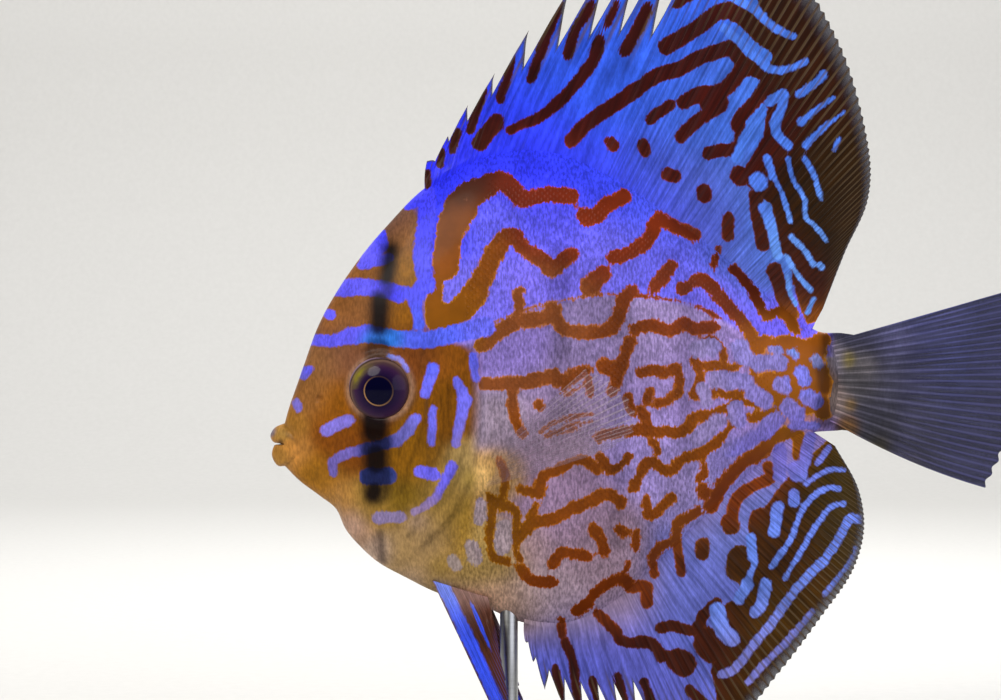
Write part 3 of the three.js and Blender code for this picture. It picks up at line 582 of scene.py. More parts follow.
def paint(piece, spots, on_fin=False):
    """Lays the colour pattern, with painted shade in the face's folds, on a piece of the fish."""
    places = on_picture(spots)
    across, down = places.T
    below = eased(down - along(LATERAL_LINE, across), -3, 6)[:, None]
    below = np.maximum(below, eased(across, *TAIL_STARTS)[:, None])
    ground = shades(places, BACK_GROUND) * (1 - below) + shades(places, SIDE_GROUND) * below
    face = 1 - eased(across - along(FACE_LINE, down), -7, 9)[:, None]
    if on_fin:
        face = face * 0
    ground = ground * (1 - face) + shades(places, FACE_GROUND) * face
    from_eye = np.hypot(across - EYE_IN_PICTURE[0], down - EYE_IN_PICTURE[1])
    rim = 0.75 * np.exp(-((from_eye - EYE_RIM_PIXELS) / 3.2) ** 2)[:, None]
    ground = ground * (1 - rim) + rim * np.array(linear(EYE_RIM_SHADE))
    brown = stroke_depth(places, BODY_BROWN + SOFT_FIN_BROWN)
    brown = np.minimum(brown, field_depth(places, REAR_DORSAL))
    brown = np.minimum(brown, field_depth(places, REAR_ANAL))
    # The rust lines stop at the face.
    brown = np.maximum(brown, face[:, 0] * 4 - 2)
    put(piece, "scaly", (0.5 if on_fin else 1.0) - 0.42 * face[:, 0])
    put(piece, "ground", ground)
    put(piece, "brown_shade", shades(places, BROWN_SHADES))
    put(piece, "blue_shade", shades(places, BLUE_SHADES))
    put(piece, "brown", brown)
    put(piece, "blue", stroke_depth(places, BLUE_ON_FINS + ([] if on_fin else FACE_BLUE + REAR_LILAC)))
    dark = 1 - eased(stroke_depth(places, DARK_BARS), -1.6, 1.1)
    dim = 0.7 * (1 - eased(stroke_depth(places, DIM_BARS), -0.8, 0.7))
    faint = 0.3 * (1 - eased(stroke_depth(places, FAINT_BARS), -1.4, 1.6))
    # Painted shade: thin shadow lines in the face's folds, laid into "dark" along with the fish's own dark
    # bars.
    painted_fold_shade = 0.32 * (1 - eased(stroke_depth(places, FACE_FOLDS), -0.3, 0.5))
    shade = np.maximum(np.maximum(dark, dim), np.maximum(faint, painted_fold_shade))
    put(piece, "dark", shade * (across > TAIL_BAR_FROM) if on_fin else shade)


paint(skin, skin_points)


def node(tree, kind, joined=None, **settings):
    """Adds one node with its settings, sets or links its inputs, and gives its outputs."""
    made = tree.nodes.new("ShaderNode" + kind)
    for name, value in settings.items():
        setattr(made, name, value)
    for socket, value in (joined or {}).items():
        if isinstance(value, bpy.types.NodeSocket):
            tree.links.new(value, made.inputs[socket])
        else:
            made.inputs[socket].default_value = value
    return made.outputs


def new_finish(name):
    """A material with nothing in it yet, and its node tree."""
    finish = bpy.data.materials.new(name)
    finish.use_nodes = True
    finish.node_tree.nodes.clear()
    return finish, finish.node_tree


def fish_pigment(tree, fleck_share):
    """The painted pattern: flecked ground, ragged brown lines with a gold fringe, blue marks, dark bars, and
    painted shade in the face's folds.
    """
    # Noise scales count per metre: 900 breaks an edge every 1.1 mm, and 2500 makes flecks of 0.4 mm.
    place = node(tree, "TexCoord")["Object"]
    ragged = node(tree, "TexNoise", {"Vector": place, "Scale": 900.0, "Detail": 2.0})["Fac"]
    upright = node(tree, "VectorMath", {0: place, 1: (1.0, 0.5, 0.34)}, operation="MULTIPLY")[0]
    fleck = node(tree, "TexNoise", {"Vector": upright, "Scale": 2500.0, "Detail": 2.0})["Fac"]
    uneven = node(tree, "TexNoise", {"Vector": place, "Scale": 330.0, "Detail": 1.0})["Fac"]
    cloudy = node(tree, "TexNoise", {"Vector": place, "Scale": 160.0, "Detail": 3.0})["Fac"]
    wander = node(tree, "Math", {0: fleck, 1: 1.1, 2: ragged}, operation="MULTIPLY_ADD")[0]
    wander = node(tree, "Math", {0: uneven, 1: 1.0, 2: wander}, operation="MULTIPLY_ADD")[0]
    wander = node(tree, "Math", {0: wander, 1: 1.1, 2: -1.7}, operation="MULTIPLY_ADD")[0]
    laid = {name: node(tree, "Attribute", attribute_name=name)
            for name in ("scaly", "ground", "brown_shade", "blue_shade", "brown", "blue", "dark")}
    scaly = laid["scaly"]["Fac"]
    shift = node(tree, "Math", {0: wander, 1: scaly}, operation="MULTIPLY")[0]
    fleck_light = node(tree, "MapRange", {"Value": fleck, "From Min": 0.36, "From Max": 0.66,
                                          "To Min": 1 - fleck_share,
                                          "To Max": 1 + fleck_share * 1.6})["Result"]
    fleck_light = node(tree, "Mix", {0: scaly, 2: 1.0, 3: fleck_light}, data_type="FLOAT")[0]
    cloud_light = node(tree, "MapRange", {"Value": cloudy, "From Min": 0.3, "From Max": 0.7,
                                          "To Min": 0.78, "To Max": 1.22})["Result"]
    light = node(tree, "Math", {0: fleck_light, 1: cloud_light}, operation="MULTIPLY")[0]
    colour, brown, blue = (
        node(tree, "VectorMath", {0: laid[name]["Color"], 3: strength}, operation="SCALE")[0]
        for name, strength in (("ground", light), ("brown_shade", cloud_light), ("blue_shade", light)))
    fringe = node(tree, "VectorMath", {0: brown, 1: (1.9, 2.3, 3.0)}, operation="MULTIPLY")[0]
    # Each coat covers the last one where its mark's depth, in millimetres, is below the softened edge.
    for mark, full, none, coat in (("brown", 0.0, 0.32, fringe), ("brown", -0.32, 0.12, brown),
                                   ("blue", -0.24, 0.24, blue)):
        depth = node(tree, "Math", {0: laid[mark]["Fac"], 1: shift}, operation="ADD")[0]
        cover = node(tree, "MapRange", {"Value": depth, "From Min": full, "From Max": none,
                                        "To Min": 1.0, "To Max": 0.0},
                     interpolation_type="SMOOTHSTEP")["Result"]
        colour = node(tree, "Mix", {0: cover, 6: colour, 7: coat}, data_type="RGBA")[2]
    # The fish's own dark bars, and the painted shade in the face's folds, both darken the colour here.
    bar_dark_and_fold_shade = node(tree, "VectorMath", {0: colour, 1: (0.03, 0.022, 0.05)}, operation="MULTIPLY")[0]
    with_bars_and_fold_shade = node(tree, "Mix", {0: laid["dark"]["Fac"], 6: colour, 7: bar_dark_and_fold_shade}, data_type="RGBA")[2]
    return with_bars_and_fold_shade, fleck


# The real skin is wet, thin and tight over flesh; the model's is painted and satin varnished.
# That gives a soft broad shine with a finer wet glint on top.
varnished_skin, tree = new_finish("varnished_skin")
colour = fish_pigment(tree, fleck_share=0.26)[0]
place = node(tree, "TexCoord")["Object"]
pores = node(tree, "TexNoise", {"Vector": place, "Scale": 1500.0, "Detail": 3.0})["Fac"]
bump = node(tree, "Bump", {"Height": pores, "Distance": 0.00008, "Strength": 0.35})["Normal"]
shader = node(tree, "BsdfPrincipled", {"Base Color": colour, "Normal": bump, "Roughness": 0.4, "IOR": 1.36,
                                       "Specular IOR Level": 0.12, "Coat Weight": 0.03,
                                       "Coat Roughness": 0.1})["BSDF"]
node(tree, "OutputMaterial", {"Surface": shader})
skin.data.materials.append(varnished_skin)
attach(skin, "root")
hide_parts("head", "torso", "tail_base", "gill_cover_left", "gill_cover_right")

# Eyes
# Each eye is a low glossy ball of clear resin over a painted iris, set in the socket's soft rim.
# A black pupil lies in a thin gold ring, with a dark purple-brown iris and a painted olive highlight above.
EYE_DEPTH = 4.4
EYE_PROUD = 2.3
EYE_TILT = 0.2
PUPIL_SHIFT = (0.5, -0.5)
IRIS = ((0.0, "#02021E"), (0.4, "#030220"), (0.44, "#120A24"), (0.5, "#1C0E30"), (0.62, "#281438"),
        (0.74, "#381E3E"), (0.84, "#4A3438"), (0.9, "#70564A"), (0.95, "#2A1A20"), (1.0, "#8C7488"))
GOLD_RING = "#A07850"
RING_AT = 0.425
RING_HALF = 0.02
OLIVE_PAINTED_HIGHLIGHT = "#8E8424"

# Clear cast resin over paint: smooth and glossy, so that a lamp shows in it as a small soft spot.
glossy_eye, tree = new_finish("glossy_resin_eye")
spread = node(tree, "Attribute", attribute_name="spread")["Fac"]
painted_highlight = node(tree, "Attribute", attribute_name="painted_highlight")["Fac"]
lower_left = node(tree, "Attribute", attribute_name="lower_left")["Fac"]
place = node(tree, "TexCoord")["Object"]
grain = node(tree, "TexNoise", {"Vector": place, "Scale": 700.0, "Detail": 3.0})["Fac"]
moved = node(tree, "Math", {0: grain, 1: 0.03, 2: spread}, operation="MULTIPLY_ADD")[0]
iris = node(tree, "ValToRGB", {"Fac": moved})["Color"]
ramp = iris.node.color_ramp
ramp.elements[0].color = linear(IRIS[0][1])
ramp.elements[1].color = linear(IRIS[-1][1])
for spot, shade in IRIS[1:-1]:
    ramp.elements.new(spot).color = linear(shade)
on_ring = node(tree, "Math", {0: spread, 1: RING_AT, 2: RING_HALF}, operation="COMPARE")[0]
gilt = node(tree, "Math", {0: on_ring, 1: lower_left}, operation="MULTIPLY")[0]
ringed = node(tree, "Mix", {0: gilt, 6: iris, 7: linear(GOLD_RING)}, data_type="RGBA")[2]
# Painted highlight: an olive crescent laid into the iris colour at its upper left.
painted_highlight_soft = node(tree, "Math", {0: painted_highlight, 1: grain}, operation="MULTIPLY")[0]
iris_and_painted_highlight = node(tree, "Mix", {0: painted_highlight_soft, 6: ringed, 7: linear(OLIVE_PAINTED_HIGHLIGHT)}, data_type="RGBA")[2]
shader = node(tree, "BsdfPrincipled", {"Base Color": iris_and_painted_highlight, "Roughness": 0.1, "IOR": 1.36,
                                       "Specular IOR Level": 0.15})["BSDF"]
node(tree, "OutputMaterial", {"Surface": shader})

EYE_RINGS = 48
EYE_STEPS = 72
for name, hand in (("eye_left", -1), ("eye_right", 1)):
    polar = np.linspace(0.02, math.pi - 0.02, EYE_RINGS)[:, None]
    around = np.linspace(0, 2 * math.pi, EYE_STEPS, endpoint=False)[None, :]
    a = EYE_RADIUS * np.sin(polar) * np.cos(around)
    b = EYE_RADIUS * np.sin(polar) * np.sin(around)
    out = EYE_DEPTH * np.cos(polar) + 0 * around
    x = EYE_AT[0] + a * math.cos(EYE_TILT) - out * math.sin(EYE_TILT)
    y_out = a * math.sin(EYE_TILT) + out * math.cos(EYE_TILT)
    centre = flank(np.array([EYE_AT[0]]), np.array([EYE_AT[1]]))[0] + EYE_PROUD - EYE_DEPTH
    y = hand * (centre + y_out)
    z = EYE_AT[1] + b
    spots = np.stack([x, y, z], -1).reshape(-1, 3)
    faces = grid_faces(EYE_RINGS, EYE_STEPS, True).tolist()
    faces += [list(range(EYE_STEPS))[::-1], [(EYE_RINGS - 1) * EYE_STEPS + i for i in range(EYE_STEPS)]]
    if hand > 0:
        faces = [f[::-1] for f in faces]
    eye = mesh_piece(name + "_ball", spots, faces, glossy_eye)
    pupil_gap = np.hypot(a - PUPIL_SHIFT[0], b - PUPIL_SHIFT[1]) / EYE_RADIUS
    put(eye, "spread", pupil_gap.ravel())
    # The painted highlight's crescent lies at the iris's upper left.
    highlight_crescent = np.exp(-((np.hypot(a, b) - 4.6) / 0.75) ** 2) * np.exp(-((np.arctan2(b, a) - 2.5) / 0.55) ** 2)
    put(eye, "painted_highlight", (1.5 * highlight_crescent).ravel())
    lower_left = 0.08 + 0.8 * (0.5 + 0.5 * np.cos(np.arctan2(b, a) + 2.3)) ** 1.6
    put(eye, "lower_left", lower_left.ravel())
    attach(eye, "root")
    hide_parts(name)

# Scales
# Small thin horn plates grow in slanting rows over the flanks, each rooted under the one before it.
# Their free rear edges stand a twentieth of a millimetre proud, and they carry the same painted pattern, with
# painted shade towards each scale's root.
SCALE_PITCH = (1.24, 0.6)
SCALE_SIZE = (1.6, 1.5)
SCALE_RISE = 0.05
ROOT_SUNK = 0.07
SCALE_SUNK = -0.3
ROW_LEAN = 0.4
SCALE_FRONT = [(40, -34), (46, -34), (49.8, -32), (57.4, -25.6), (64, -22.6), (71, -21), (78, -20.4),
               (84, -20.8), (89, -22.6), (92.4, -24.4), (97, -26), (103, -25), (112, -23.6), (124, -21)]


def scale_roots():
    """Where each scale of one flank is rooted, seen from the side, in staggered rows."""
    rng = np.random.default_rng(7)
    xs, zs = [], []
    for row, z in enumerate(np.arange(34, 132, SCALE_PITCH[1])):
        x = np.arange(-46, 47, SCALE_PITCH[0]) + (row % 2) * SCALE_PITCH[0] / 2
        xs.append(x)
        zs.append(np.full(len(x), z))
    x = np.concatenate(xs)
    z = np.concatenate(zs)
    x = x + rng.uniform(-0.13, 0.13, len(x))
    z = z + rng.uniform(-0.1, 0.1, len(z))
    kept = (z < along(BACK, x) - 1.0) & (z > along(BELLY, x) + 1.0) & (x > along(SCALE_FRONT, z))
    kept &= np.hypot((x - PECTORAL_AT[0]) / 3.4, (z - PECTORAL_AT[1]) / 4.6) > 1
    return x[kept], z[kept]


PLATE_STEPS = 4
plate_u = np.array([0, 0.36, 0.74, 1.0])
plate_v = np.linspace(-1, 1, PLATE_STEPS)
root_x, root_z = scale_roots()
top = along(BACK, root_x)
low = along(BELLY, root_x)
share = (root_z - low) / (top - low)
slope = share * (along(BACK, root_x + 1) - top) + (1 - share) * (along(BELLY, root_x + 1) - low)
lie = np.arctan(slope * ROW_LEAN)
size = 1 - 0.28 * eased(root_x, 25, 50)
u, v = np.meshgrid(plate_u, plate_v, indexing="ij")
half = 0.5 * SCALE_SIZE[1] * np.sqrt(np.clip(1 - ((u - 0.42) / 0.72) ** 2, 0.05, 1))
out_u = (u - 0.3) * SCALE_SIZE[0] - 0.16 * v ** 2 * u
out_v = v * half
stand = -ROOT_SUNK + (SCALE_RISE + ROOT_SUNK) * u ** 0.8 - 0.04 * v ** 2 * (0.4 + u)
edge = [(0, c) for c in range(4)] + [(r, 3) for r in (1, 2, 3)]
edge += [(3, c) for c in (2, 1, 0)] + [(r, 0) for r in (2, 1)]
flat = np.array([r * PLATE_STEPS + c for r, c in edge])
under = u.size + np.arange(len(flat))
plate_faces = grid_faces(PLATE_STEPS, PLATE_STEPS, False)
skirt = np.stack([flat, np.roll(flat, -1), np.roll(under, -1), under], 1)
one_plate = np.vstack([plate_faces, skirt])
out_u = np.concatenate([out_u.ravel(), out_u.ravel()[flat]])
out_v = np.concatenate([out_v.ravel(), out_v.ravel()[flat]])
stand = np.concatenate([stand.ravel(), np.full(len(flat), SCALE_SUNK)])
patch_u = np.concatenate([u.ravel(), u.ravel()[flat]]) - 0.5
patch_v = np.concatenate([v.ravel(), v.ravel()[flat]]) / 2

# The same varnish as the skin, a little glossier on the scale's hard face.
varnished_scale, tree = new_finish("varnished_scale")
colour, fleck = fish_pigment(tree, fleck_share=0.26)
# Each scale's tone differs at random, and painted shade darkens it towards its root, under the scale before;
# its free rear edge is painted lighter.
tint = node(tree, "Attribute", attribute_name="tint")["Fac"]
toned_and_root_shaded = node(tree, "VectorMath", {0: colour, 3: tint}, operation="SCALE")[0]
bump = node(tree, "Bump", {"Height": fleck, "Distance": 0.00006, "Strength": 0.4})["Normal"]
shader = node(tree, "BsdfPrincipled", {"Base Color": toned_and_root_shaded, "Normal": bump, "Roughness": 0.36, "IOR": 1.38,
                                       "Specular IOR Level": 0.12, "Coat Weight": 0.03,
                                       "Coat Roughness": 0.1})["BSDF"]
node(tree, "OutputMaterial", {"Surface": shader})

# Each flank's coat is laid in three stretches, from front to back.
COAT_SPLITS = [-12, 12]
whole_coat = (root_x, root_z, top, low, lie, size)
stretch_of = np.digitize(root_x, COAT_SPLITS)
for name, hand, stretch in (("scales_left_a", -1, 0), ("scales_left_b", -1, 1), ("scales_left_c", -1, 2),
                            ("scales_right_a", 1, 0), ("scales_right_b", 1, 1), ("scales_right_c", 1, 2)):
    root_x, root_z, top, low, lie, size = (part[stretch_of == stretch] for part in whole_coat)
    count = len(root_x)
    turned_x = size[:, None] * (out_u * np.cos(lie)[:, None] - out_v * np.sin(lie)[:, None])
    turned_z = size[:, None] * (out_u * np.sin(lie)[:, None] + out_v * np.cos(lie)[:, None])
    x = root_x[:, None] + turned_x
    z = root_z[:, None] + turned_z
    side = flank(x, z)
    # Towards the keels, where the flank turns away, the plates lie flush; their sunk undersides stay.
    flush = 0.045 * (1 - eased(side, 3.0, 9.0)) * (stand[None, :] > SCALE_SUNK + 0.05)
    y = hand * (side + relief(x, z) * eased(side, 0.3, 2.2) + stand[None, :] * size[:, None] - flush)
    spots = np.stack([x, y, z], -1).reshape(-1, 3)
    faces = (one_plate[None] + len(stand) * np.arange(count)[:, None, None]).reshape(-1, 4)
    if hand > 0:
        faces = faces[:, ::-1]
    scales = mesh_piece(name, spots, faces.tolist(), varnished_scale)
    on_top = np.arange(len(one_plate)) < len(plate_faces)
    scales.data.polygons.foreach_set("use_smooth", np.tile(on_top, count))
    paint(scales, spots)
    rng = np.random.default_rng(11 + hand)
    rearward = np.concatenate([u.ravel(), u.ravel()[flat]])
    # Random tone for each scale, times painted shade that darkens it towards its root and lightens its free
    # rear edge.
    tones_and_root_shade = rng.uniform(0.88, 1.12, count)[:, None] * (0.92 + 0.16 * rearward)[None, :]
    put(scales, "tint", tones_and_root_shade.ravel())
    bake = scales.data.uv_layers.new(name="OFBake")
    level = np.clip(2 * (root_z - low) / (top - low) - 1, -1, 1)
    around = (0.5 * math.pi + np.arcsin(level)) / (2 * math.pi)
    root_u = (root_x + 70) / 130
    root_v = around if hand < 0 else 1 - around
    patch = [root_u[:, None] + 0.003 * patch_u, root_v[:, None] + 0.003 * patch_v]
    places = np.stack(patch, -1).reshape(-1, 2)
    corners = np.zeros(len(scales.data.loops), np.int32)
    scales.data.loops.foreach_get("vertex_index", corners)
    bake.data.foreach_set("uv", places[corners].astype(np.float32).ravel())
    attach(scales, "root")

# Back and belly fins
# Each is a thin skin sail on bony rays: stiff pointed spines in front, then about thirty soft branched rays.
# The rays stand as fine ridges, and the pattern of the flank runs on out to a dusky clear rim.
DORSAL_SPINES = [(-33, 122, -32.6, 127.8), (-31.8, 123.4, -28.4, 132.8), (-29.8, 125, -24.4, 139),
                 (-27, 126.6, -19, 145.4), (-23.4, 128.4, -12.2, 154), (-19, 129.8, -4, 162.4),
                 (-14, 130.4, 4.4, 168.8), (-8.6, 130.2, 11.6, 172.6), (-3.2, 128.8, 18, 174.6),
                 (1.8, 126.4, 24, 175.2)]
DORSAL_SOFT = [(1.8, 126.4, 24, 175.2), (12, 120, 39, 168.6), (22, 112.8, 49.6, 152), (30, 106.4, 55.2, 133),
               (35.6, 101.6, 55.8, 120.6), (40.4, 97.8, 51.2, 109.6), (44.4, 94.4, 46.6, 98.4)]
ANAL_SPINES = [(-13.2, 35.6, -13, 31.8), (-12.2, 35.2, -11.4, 27.6), (-10.8, 34.9, -9, 22),
               (-9, 34.7, -4.8, 17.8), (-6.6, 34.8, -0.8, 14.8), (-4, 35.2, 3.2, 13.2),
               (-1.2, 36.2, 7, 12.2), (1.4, 37.4, 10.8, 11.6), (4, 38.6, 14.4, 11.2)]
ANAL_SOFT = [(4, 38.6, 14.4, 11.2), (11, 43.8, 27.6, 13.8), (18, 50.6, 38.2, 25.8), (25, 57.8, 46.4, 37),
             (31, 63.8, 52.4, 45.6), (35.8, 68.2, 55, 54), (40.4, 71.8, 53.8, 62.4), (44.4, 73.8, 49, 70.8)]
SOFT_RAYS = 30
SPINE_BOW = (0.045, 1.0)
WEB_HALF = 0.13
FIN_ROOT = (3.0, 1.2)


def fin_columns(guides, at):
    """Root and tip of the sail at places counted in guide rays."""
    guides = np.array(guides, float)
    return through(guides[:, :2], at), through(guides[:, 2:], at)


def fin_sail(name, roots, tips, reach, ray_line, rows, root, bow, sway, material, ridge=0.16, web=WEB_HALF):
    """A closed thin sail from root to tips, with ray ridges, and what its paint needs to know."""
    whole = tips - roots
    length = np.hypot(*whole.T)
    sunk = root[0] / np.maximum(length, root[0])
    t = -sunk + np.linspace(0, 1, rows)[:, None] * (reach + sunk)
    out = np.maximum(t, 0)
    x = roots[:, 0] + whole[:, 0] * t + bow[0] * 4 * out * (1 - out)
    z = roots[:, 1] + whole[:, 1] * t + bow[1] * 4 * out * (1 - out)
    crest = np.clip(np.cos(2 * math.pi * ray_line), 0, 1) ** 2
    thick_root = (root[1] - web) * (1 - np.minimum(1, out * 3) ** 0.7)
    half = web + thick_root + ridge * crest * (1 - 0.8 * out) * np.minimum(1, out * 8)
    rim = np.clip((reach - out) / 0.03, 0, 1) ** 0.5
    half = half * (0.35 + 0.65 * rim)
    middle = sway(x, z, out)
    near = np.stack([x, middle - half, z], -1)
    far = np.stack([x, middle + half, z], -1)
    columns = len(roots)
    spots = np.vstack([near.reshape(-1, 3), far.reshape(-1, 3)])
    front = grid_faces(rows, columns, False)
    back = front[:, ::-1] + rows * columns
    loop = np.concatenate([np.arange(columns), columns * np.arange(1, rows) + columns - 1,
                           (rows - 1) * columns + np.arange(columns - 2, -1, -1),
                           columns * np.arange(rows - 2, 0, -1)])
    after = np.roll(loop, -1)
    wall = np.stack([after, loop, loop + rows * columns, after + rows * columns], 1)
    faces = np.vstack([front, back, wall])
    a, b, c = near[0, 0], near[0, 1], near[1, 0]
    if np.cross(b - a, c - a)[1] > 0:
        faces = faces[:, ::-1]
    sail = mesh_piece(name, spots, faces.tolist(), material)
    reached = np.broadcast_to(out, x.shape)
    rays = np.broadcast_to(ray_line, x.shape)
    put(sail, "reach", np.tile((reached / np.maximum(reach, 0.3)).ravel(), 2))
    put(sail, "ray", np.tile(rays.ravel(), 2))
    return sail, spots


def fin_finish(name, rim_shade, rim_start, clear, ray_shade, ray_share, ray_depth, ray_clear=None,
               ray_widths=(0.72, 0.35), rim_share=1.0, ray_start=0.2, bare=None):
    """Thin skin between bony rays that branch: painted at the root, dusky and half clear at the rim."""
    finish, tree = new_finish(name)
    reach = node(tree, "Attribute", attribute_name="reach")["Fac"]
    ray = node(tree, "Attribute", attribute_name="ray")["Fac"]
    branch, outer, pale = (
        node(tree, "MapRange", {"Value": reach, "From Min": low, "From Max": high},
             interpolation_type="SMOOTHSTEP")["Result"]
        for low, high in ((0.35, 0.6), (rim_start, min(1.0, rim_start + 0.14)), (0.55, 0.85)))
    lines = []
    for times, sharp in zip((1, 2), ray_widths):
        many = node(tree, "Math", {0: ray, 1: 2 * math.pi * times}, operation="MULTIPLY")[0]
        wave = node(tree, "Math", {0: many}, operation="COSINE")[0]
        lines.append(node(tree, "MapRange", {"Value": wave, "From Min": sharp, "From Max": 1.0},
                          interpolation_type="SMOOTHSTEP")["Result"])
    line = node(tree, "Mix", {0: branch, 2: lines[0], 3: lines[1]}, data_type="FLOAT")[0]
    if bare:
        place = node(tree, "TexCoord")["Object"]
        mist = node(tree, "TexNoise", {"Vector": place, "Scale": 420.0, "Detail": 3.0})["Fac"]
        colour = node(tree, "Mix", {0: mist, 6: linear(bare[0]), 7: linear(bare[1])}, data_type="RGBA")[2]
    else:
        colour = fish_pigment(tree, fleck_share=0.16)[0]
    fan = node(tree, "CombineXYZ", {"X": ray, "Y": reach})[0]
    fan = node(tree, "VectorMath", {0: fan, 1: (4.0, 3.0, 1.0)}, operation="MULTIPLY")[0]
    grain = node(tree, "TexNoise", {"Vector": fan, "Scale": 1.0, "Detail": 3.0})["Fac"]
    streak = node(tree, "MapRange", {"Value": grain, "From Min": 0.32, "From Max": 0.68,
                                     "To Min": 0.66, "To Max": 1.36})["Result"]
    rim_mix = node(tree, "Math", {0: outer, 1: rim_share}, operation="MULTIPLY")[0]
    rimmed = node(tree, "Mix", {0: rim_mix, 6: colour, 7: linear(rim_shade)}, data_type="RGBA")[2]
    rimmed = node(tree, "VectorMath", {0: rimmed, 3: streak}, operation="SCALE")[0]
    grow = node(tree, "MapRange", {"Value": reach, "From Min": 0.05, "From Max": 0.75,
                                   "To Min": ray_start * ray_share, "To Max": ray_share})["Result"]
    ray_mix = node(tree, "Math", {0: line, 1: grow}, operation="MULTIPLY")[0]
    deep = node(tree, "VectorMath", {0: rimmed, 3: ray_depth}, operation="SCALE")[0]
    ray_tone = node(tree, "Mix", {0: pale, 6: deep, 7: linear(ray_shade)}, data_type="RGBA")[2]
    rayed = node(tree, "Mix", {0: ray_mix, 6: rimmed, 7: ray_tone}, data_type="RGBA")[2]
    see = node(tree, "MapRange", {"Value": line, "To Min": clear,
                                  "To Max": ray_clear or min(1.0, clear * 1.3)})["Result"]
    solid_inside = node(tree, "Mix", {0: outer, 2: 1.0, 3: see}, data_type="FLOAT")[0]
    bump = node(tree, "Bump", {"Height": line, "Distance": 0.00012, "Strength": 0.6})["Normal"]
    shader = node(tree, "BsdfPrincipled", {"Base Color": rayed, "Alpha": solid_inside, "Normal": bump,
                                           "Roughness": 0.4, "IOR": 1.36, "Specular IOR Level": 0.14,
                                           "Coat Weight": 0.03, "Coat Roughness": 0.12})["BSDF"]
    node(tree, "OutputMaterial", {"Surface": shader})
    return finish


# Varnished fin skin: the flank's paint, with a smoky half-clear rim and darker bony rays.
sail_skin = fin_finish("thin_fin_skin", "#2A2838", 0.9, 0.66, "#5E4C34", 0.6, 0.38)
spine_way = np.array([0, 0.1, 0.2, 0.3, 0.4, 0.5, 0.6, 0.7, 0.79, 0.86, 0.93])


def spiny_reach(way):
    """How far the sail's edge falls back behind each spine, before it rises to the next one's tip."""
    fall = 1 - 0.47 * (way / 0.82) ** 0.9
    rise = 0.53 + 0.47 * ((way - 0.82) / 0.18)
    return np.where(way < 0.82, fall, rise)


def spiny_and_soft(spines, soft):
    """Columns of a sail that is spiny in front and soft behind."""
    spiny_at = (np.arange(len(spines) - 1)[:, None] + spine_way).ravel()
    spiny_share = spiny_at / (len(spines) - 1)
    roots_a, tips_a = fin_columns(spines, spiny_at)
    soft_at = np.linspace(0, len(soft) - 1, SOFT_RAYS * 8 + 1)
    roots_b, tips_b = fin_columns(soft, soft_at)
    soft_ray = np.linspace(0, SOFT_RAYS, SOFT_RAYS * 8 + 1)
    reach_b = 1 - 0.012 * (0.5 - 0.5 * np.cos(4 * math.pi * soft_ray))
    reach = np.concatenate([spiny_reach(spiny_at % 1), reach_b])
    ray_line = np.concatenate([spiny_at, len(spines) - 1 + soft_ray])
    long_a = np.hypot(*(tips_a - roots_a).T)
    bow_a = -np.minimum(SPINE_BOW[1], SPINE_BOW[0] * long_a) * np.minimum(1, 10 - 10 * spiny_share)
    bow = np.concatenate([bow_a, np.zeros(len(soft_at))])
    far = np.concatenate([np.zeros(len(spiny_at)), soft_at / (len(soft) - 1)])
    return np.vstack([roots_a, roots_b]), np.vstack([tips_a, tips_b]), reach, ray_line, bow, far


for name, spines, soft, stands_for in (
        ("dorsal_sail", DORSAL_SPINES, DORSAL_SOFT, ("dorsal_fin_spines", "dorsal_fin_soft")),
        ("anal_sail", ANAL_SPINES, ANAL_SOFT, ("anal_fin_spines", "anal_fin_soft"))):
    roots, tips, reach, ray_line, bow, far = spiny_and_soft(spines, soft)
    wave = np.sin(far * 9 + 0.6) * np.minimum(1, far * 6)
    sail, spots = fin_sail(name, roots, tips, reach, ray_line, 72, FIN_ROOT, (bow, 0 * bow),
                           lambda x, z, out: 1.3 * out ** 2 * wave, sail_skin)
    paint(sail, spots, on_fin=True)
    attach(sail, "root")
    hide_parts(*stands_for)

# Tail fin
# A smoky fan of fourteen branched rays, set in the end of the tail with a yellow-olive root.
# Its skin is thin and nearly clear, so that the rays show as pale lines on dark violet.
TAIL_GUIDES = [(49.2, 92, 89.2, 103.4), (49.6, 88.4, 90.4, 94), (49.8, 84, 86, 83.6), (49.6, 79.6, 83.6, 72),
               (49.2, 75.2, 79.2, 62.4)]
TAIL_RAYS = 14
TAIL_SAG = 1.1
tail_skin = fin_finish("smoky_tail_skin", "#2E2E52", 0.3, 0.86, "#545480", 0.62, 3.2,
                       ray_widths=(-0.2, 0.1), rim_share=0.35, ray_start=0.75)
tail_at = np.linspace(0, len(TAIL_GUIDES) - 1, TAIL_RAYS * 12 + 1)
roots, tips = fin_columns(TAIL_GUIDES, tail_at)
tail_ray = np.linspace(0, TAIL_RAYS, TAIL_RAYS * 12 + 1)
reach = 1 - 0.02 * (0.5 - 0.5 * np.cos(2 * math.pi * tail_ray))
bow_z = -TAIL_SAG * np.maximum(0, 2 * tail_at / tail_at[-1] - 1)
tail, spots = fin_sail("tail_fan", roots, tips, reach, tail_ray, 84, (4.0, 1.4), (0 * bow_z, bow_z),
                       lambda x, z, out: 0.8 * out ** 2, tail_skin, 0.26, 0.15)
paint(tail, spots, on_fin=True)
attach(tail, "root")
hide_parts("tail_fin")

# Chest fins
# Each is a clear fan of a dozen hair-fine rays on a fleshy knob behind the gill cover.
# The fish holds it laid back along the flank, and the flank's lines show through it.
PECTORAL_GUIDES = [(-19.8, 69.6, -1.4, 86.4), (-18.8, 68.4, 5.2, 82.6), (-18.2, 66.8, 8.4, 76),
                   (-18.4, 65.2, 4.2, 71.4), (-19, 63.8, -4.8, 68)]
PECTORAL_KNOB = (-20.2, 66.2)
PECTORAL_FLARE = 0.24
CHEST_RAYS = 12
